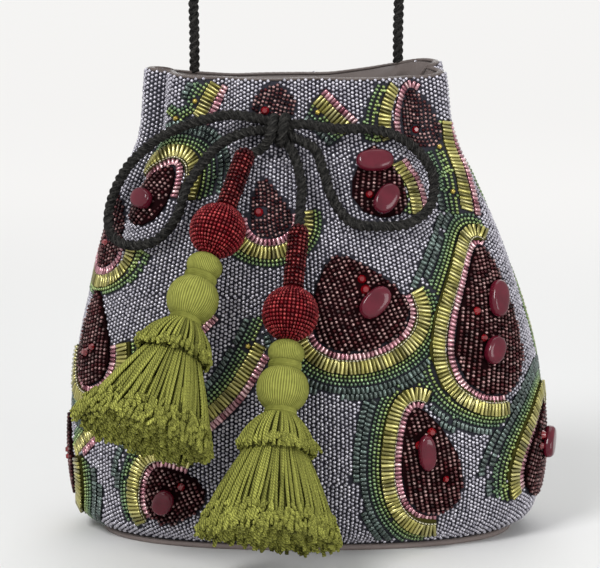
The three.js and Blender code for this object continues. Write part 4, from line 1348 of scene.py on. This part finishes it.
def add_stem_and_ball(side, axes, body):
    """Seed beads in rings up the stem and over its dome, and in rows from pole to pole on the ball."""
    finish = (CRIMSON_THREAD, "crimson_beads", body)
    core = STEM_RADIUS - COVER_SEED
    turn = np.radians(np.linspace(88, 4, 6))
    radius = np.concatenate([core * np.cos(turn), [core, core]])
    down = np.concatenate([-core * np.sin(turn), [0, STEM_LENGTH + 1 * MM]])
    turned_piece(f"{side}_stem_core", axes, radius, down, *finish, columns=24)
    rows = np.arange(0.2, STEM_LENGTH / MM, STEM_PITCH) * MM
    rings = (
        np.concatenate([core * np.cos(STEM_DOME) + COVER_SEAT, np.full(len(rows), core + COVER_SEAT)]),
        np.concatenate([-(core + 0.3 * MM) * np.sin(STEM_DOME), rows]),
        np.concatenate([STEM_DOME_COUNTS, np.full(len(rows), STEM_COUNT)]).astype(int),
        np.concatenate([-STEM_DOME, np.zeros(len(rows))]),
        COVER_SEED,
    )
    bead_cover(f"{side}_stem_beads", axes, rings, body, [f"{side}_tassel_stem"], STEM_RED)

    core = BALL_RADIUS - COVER_SEED
    turn = np.radians(np.linspace(-78, 78, 21))
    turned_piece(f"{side}_ball_core", axes, core * np.cos(turn), BALL_MIDDLE + core * np.sin(turn), *finish)
    turn = np.radians(np.linspace(-75, 75, 19))
    radius = (core + COVER_SEAT) * np.cos(turn)
    counts = np.select([radius > 0.66 * core, radius > 0.33 * core], BALL_COUNTS[:2], BALL_COUNTS[2])
    rings = (radius, BALL_MIDDLE + (core + COVER_SEAT) * np.sin(turn), counts, turn, BALL_SEED)
    bead_cover(f"{side}_ball_beads", axes, rings, body, [f"{side}_tassel_ball"], CRIMSON)


def add_wrapped_bead(side, name, bead, axes, body):
    """Wooden bead wrapped in fine thread: a full round profile with a thread ridge at each step round it."""
    half_width, half_height, middle = bead
    columns, threads = 240, 60
    lay = np.linspace(-0.5, 0.5, 24) * np.pi
    turn = circle(columns)
    ridge = 1 + 0.009 * np.abs(np.sin(threads * turn / 2 + 0.25 * np.sin(3 * turn)))
    radius = (half_width * np.maximum(np.cos(lay), 0.26) ** 0.86)[:, None] * ridge
    down = middle + half_height * np.sin(lay)
    finish, nodes = (WRAP, "green_yarn", body), [f"{side}_tassel_{name}"]
    turned_piece(f"{side}_{name}", axes, radius, down, *finish, nodes, columns, threads * np.pi / 10)


def add_whipping(side, name, middle, radius, axes, body):
    """Neck of thread wound round the axis: a turned profile of four round turns."""
    lay = np.linspace(0, 1, 33)
    down = middle + (lay - 0.5) * 3.4 * MM
    bulge = 0.9 * MM * np.sqrt(np.maximum(1 - (2 * lay - 1) ** 2, 0))
    bulge = bulge + 0.22 * MM * np.abs(np.sin(4 * np.pi * lay))
    turned_piece(f"{side}_{name}", axes, radius + bulge, down, WRAP, "green_yarn", body, uv_turns=0.2)


def yarn_tubes(name, paths, radius, axes, body, nodes=(), shade=1.0, sides=5):
    """Round yarn along many paths at once: a ring square to each path at every point, closed at the ends."""
    strands, steps = paths.shape[:2]
    tangent = unit(np.gradient(paths, axis=1))
    hinge, _, _, z = axes
    from_hinge = paths - hinge
    across = unit(np.cross(tangent, unit(from_hinge - (from_hinge @ z)[..., None] * z + 1e-6)))
    other = np.cross(tangent, across)
    turn = circle(sides)
    outward = np.cos(turn)[:, None] * across[:, :, None] + np.sin(turn)[:, None] * other[:, :, None]
    points = paths[:, :, None] + np.asarray(radius)[..., None, None] * outward
    run = np.cumsum(np.linalg.norm(np.diff(paths, axis=1, prepend=paths[:, :1]), axis=-1), axis=1)
    phase = RANDOM.uniform(0, 5, strands)[:, None, None]
    wound = 0.2 * np.pi * run[..., None] / YARN_TURN
    uv = np.stack(np.broadcast_arrays(turn / 5 + phase, wound + phase), -1)
    # Each strand's tint is a random tone times the layer's brightness, which darkens the inner layers as
    # painted shade.
    tint = shade * RANDOM.normal(0.98, 0.17, (strands, 1, 1, 1)) * np.ones((1, steps, sides, 3))
    first = (np.arange(strands) * steps * sides)[:, None, None]
    faces = [(part[None] + first).reshape(-1, part.shape[1]) for part in closed_faces(steps, sides)]
    piece = add_piece(name, points, faces, YARN, body=body, uv=uv, tint=tint)
    if nodes:
        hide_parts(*nodes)


def collar_radius(share):
    """Half width of the collar from its top, 0, to its hem, 1: a quarter sine, full near the top."""
    return COLLAR_TOP_RADIUS + (COLLAR_HEM_RADIUS - COLLAR_TOP_RADIUS) * np.sin(np.pi / 2 * share) ** 0.8


def flatness(down):
    """How flat the yarn lies against the bag: round at the collar's top, flatter to the hem."""
    return 1 + (SKIRT_FLATNESS - 1) * np.clip((down - COLLAR_TOP) / (SKIRT_HEM - COLLAR_TOP), 0, 1)


def yarn_paths(axes, turn, radius, down):
    """Paths of strands at angles about the axis, with the tassel's flatness."""
    return on_tassel(axes, radius * np.cos(turn), radius * np.sin(turn) * flatness(down), down)


def frayed(paths, spread):
    """Strands whose last third wanders, so that the cut ends lie unevenly."""
    steps = paths.shape[1]
    wander = np.clip((np.arange(steps) / (steps - 1) - 0.66) / 0.34, 0, 1)[None, :, None] ** 1.5
    return paths + RANDOM.normal(0, spread, (len(paths), 1, 3)) * wander


def add_collar(side, axes, body):
    """Short upper skirt: two layers of strands laid close from the neck over a dome to cut ends."""
    share = np.linspace(0, 1, 11)[None]
    for layer, (strands, depth, shade) in enumerate(COLLAR_LAYERS):
        each = (strands, 1)
        turn = 2 * np.pi * (np.arange(strands)[:, None] + 0.5 * layer) / strands
        turn = turn + RANDOM.normal(0, 0.02, each)
        length = COLLAR_LENGTH * RANDOM.normal(1, 0.035, each)
        radius = collar_radius(share) - YARN_RADIUS - depth + RANDOM.normal(0, 0.35 * MM, each) * share
        paths = frayed(yarn_paths(axes, turn, radius, COLLAR_TOP + length * share), 0.35 * MM)
        width = YARN_RADIUS * (0.55 + 0.5 * np.sqrt(share)) * np.ones(each)
        nodes = [f"{side}_tassel_collar"] if layer == 0 else []
        yarn_tubes(f"{side}_collar_yarn_{layer + 1}", paths, width, axes, body, nodes, shade)


def skirt_radius(share):
    """Half width of the skirt from under the collar, 0, to its hem, 1: part quarter sine, part straight."""
    swell = 0.3 * np.sin(np.pi / 2 * share) + 0.7 * share
    return SKIRT_TOP_RADIUS + (SKIRT_HEM_RADIUS - SKIRT_TOP_RADIUS) * swell


def add_skirt(side, axes, body):
    """Long skirt: two layers of strands from under the collar, and short ends that fill the hem."""
    share = np.linspace(0, 1, 19)[None]
    for layer, (strands, depth, shade) in enumerate(SKIRT_LAYERS):
        each = (strands, 1)
        turn = 2 * np.pi * (np.arange(strands)[:, None] + 0.5 * layer) / strands
        turn = turn + RANDOM.normal(0, 0.014, each)
        drift = 0.05 * np.sin(RANDOM.uniform(0, 6, each) + 3 * share) * share
        inward = np.abs(RANDOM.normal(0, 0.8 * MM, each)) * share
        radius = np.maximum(skirt_radius(share) - YARN_RADIUS - depth - inward, 1.5 * MM)
        length = (SKIRT_HEM - SKIRT_TOP) * RANDOM.normal(0.965, 0.024, each)
        width = YARN_RADIUS * np.minimum(1, 0.42 + 1.2 * share) * np.ones(each)
        width[:, -1] *= 1.25
        paths = frayed(yarn_paths(axes, turn + drift, radius, SKIRT_TOP + length * share), 0.6 * MM)
        nodes = [f"{side}_tassel_skirt"] if layer == 0 else []
        yarn_tubes(f"{side}_skirt_yarn_{layer + 1}", paths, width, axes, body, nodes, shade)

    index = np.arange(SKIRT_FILL)[:, None]
    share = np.linspace(0.6, 1, 6)[None]
    radius = skirt_radius(share) * np.sqrt((index + 0.5) / SKIRT_FILL) * 0.9
    length = np.minimum(RANDOM.normal(0.97, 0.028, index.shape), 1)
    down = SKIRT_TOP + (SKIRT_HEM - SKIRT_TOP) * share * length
    width = np.full(down.shape, YARN_RADIUS)
    width[:, -1] *= 1.3
    paths = frayed(yarn_paths(axes, index * GOLDEN_TURN, radius, down), 1.0 * MM)
    yarn_tubes(f"{side}_skirt_ends", paths, width, axes, body)


def add_tufts(side, name, axes, body, count, top, hem, radius_at, band):
    """Cut yarn ends: short stubs set at random in a band above a hem, each splayed its own way.

    Each is wider at its tip, and those that face the other tassel are drawn in by the room for it.
    """
    each = (count, 1)
    share = 1 - band * RANDOM.uniform(0, 1, each) ** 1.3
    turn = RANDOM.uniform(0, 2 * np.pi, each)
    step = np.linspace(0, 1, len(TUFT_WIDTHS))[None]
    radius = radius_at(share) - RANDOM.uniform(0, 1.6 * MM, each) + TUFT_LENGTH * 0.3 * step
    radius = radius - HEM_ROOM[side] * np.clip(np.cos(turn - HEM_FACING[side]), 0, 1) ** 4
    turn = turn + RANDOM.normal(0, 0.04, each) * step
    down = top + (hem - top) * share + TUFT_LENGTH * (step - 1)
    paths = yarn_paths(axes, turn, radius, down)
    paths = paths + RANDOM.normal(0, 0.7 * MM, (count, 1, 3)) * step[..., None]
    yarn_tubes(f"{side}_{name}", paths, YARN_RADIUS * TUFT_WIDTHS * np.ones(each), axes, body)


for side in ("left", "right"):
    body = f"{side}_tassel"
    axes = tassel_axes(side)
    add_stem_and_ball(side, axes, body)
    add_wrapped_bead(side, "small_bead", SMALL_BEAD, axes, body)
    add_wrapped_bead(side, "large_bead", LARGE_BEAD, axes, body)
    between_beads = (SMALL_BEAD[2] + SMALL_BEAD[1] + LARGE_BEAD[2] - LARGE_BEAD[1]) / 2
    add_whipping(side, "upper_whipping", between_beads, 5.6 * MM, axes, body)
    add_whipping(side, "lower_whipping", COLLAR_TOP - 0.2 * MM, 5.4 * MM, axes, body)
    add_collar(side, axes, body)
    add_skirt(side, axes, body)
    collar_end = COLLAR_TOP + COLLAR_LENGTH
    add_tufts(side, "collar_ends", axes, body, 150, COLLAR_TOP, collar_end, collar_radius, 0.13)
    add_tufts(side, "hem_ends", axes, body, 620, SKIRT_TOP, SKIRT_HEM, skirt_radius, 0.2)
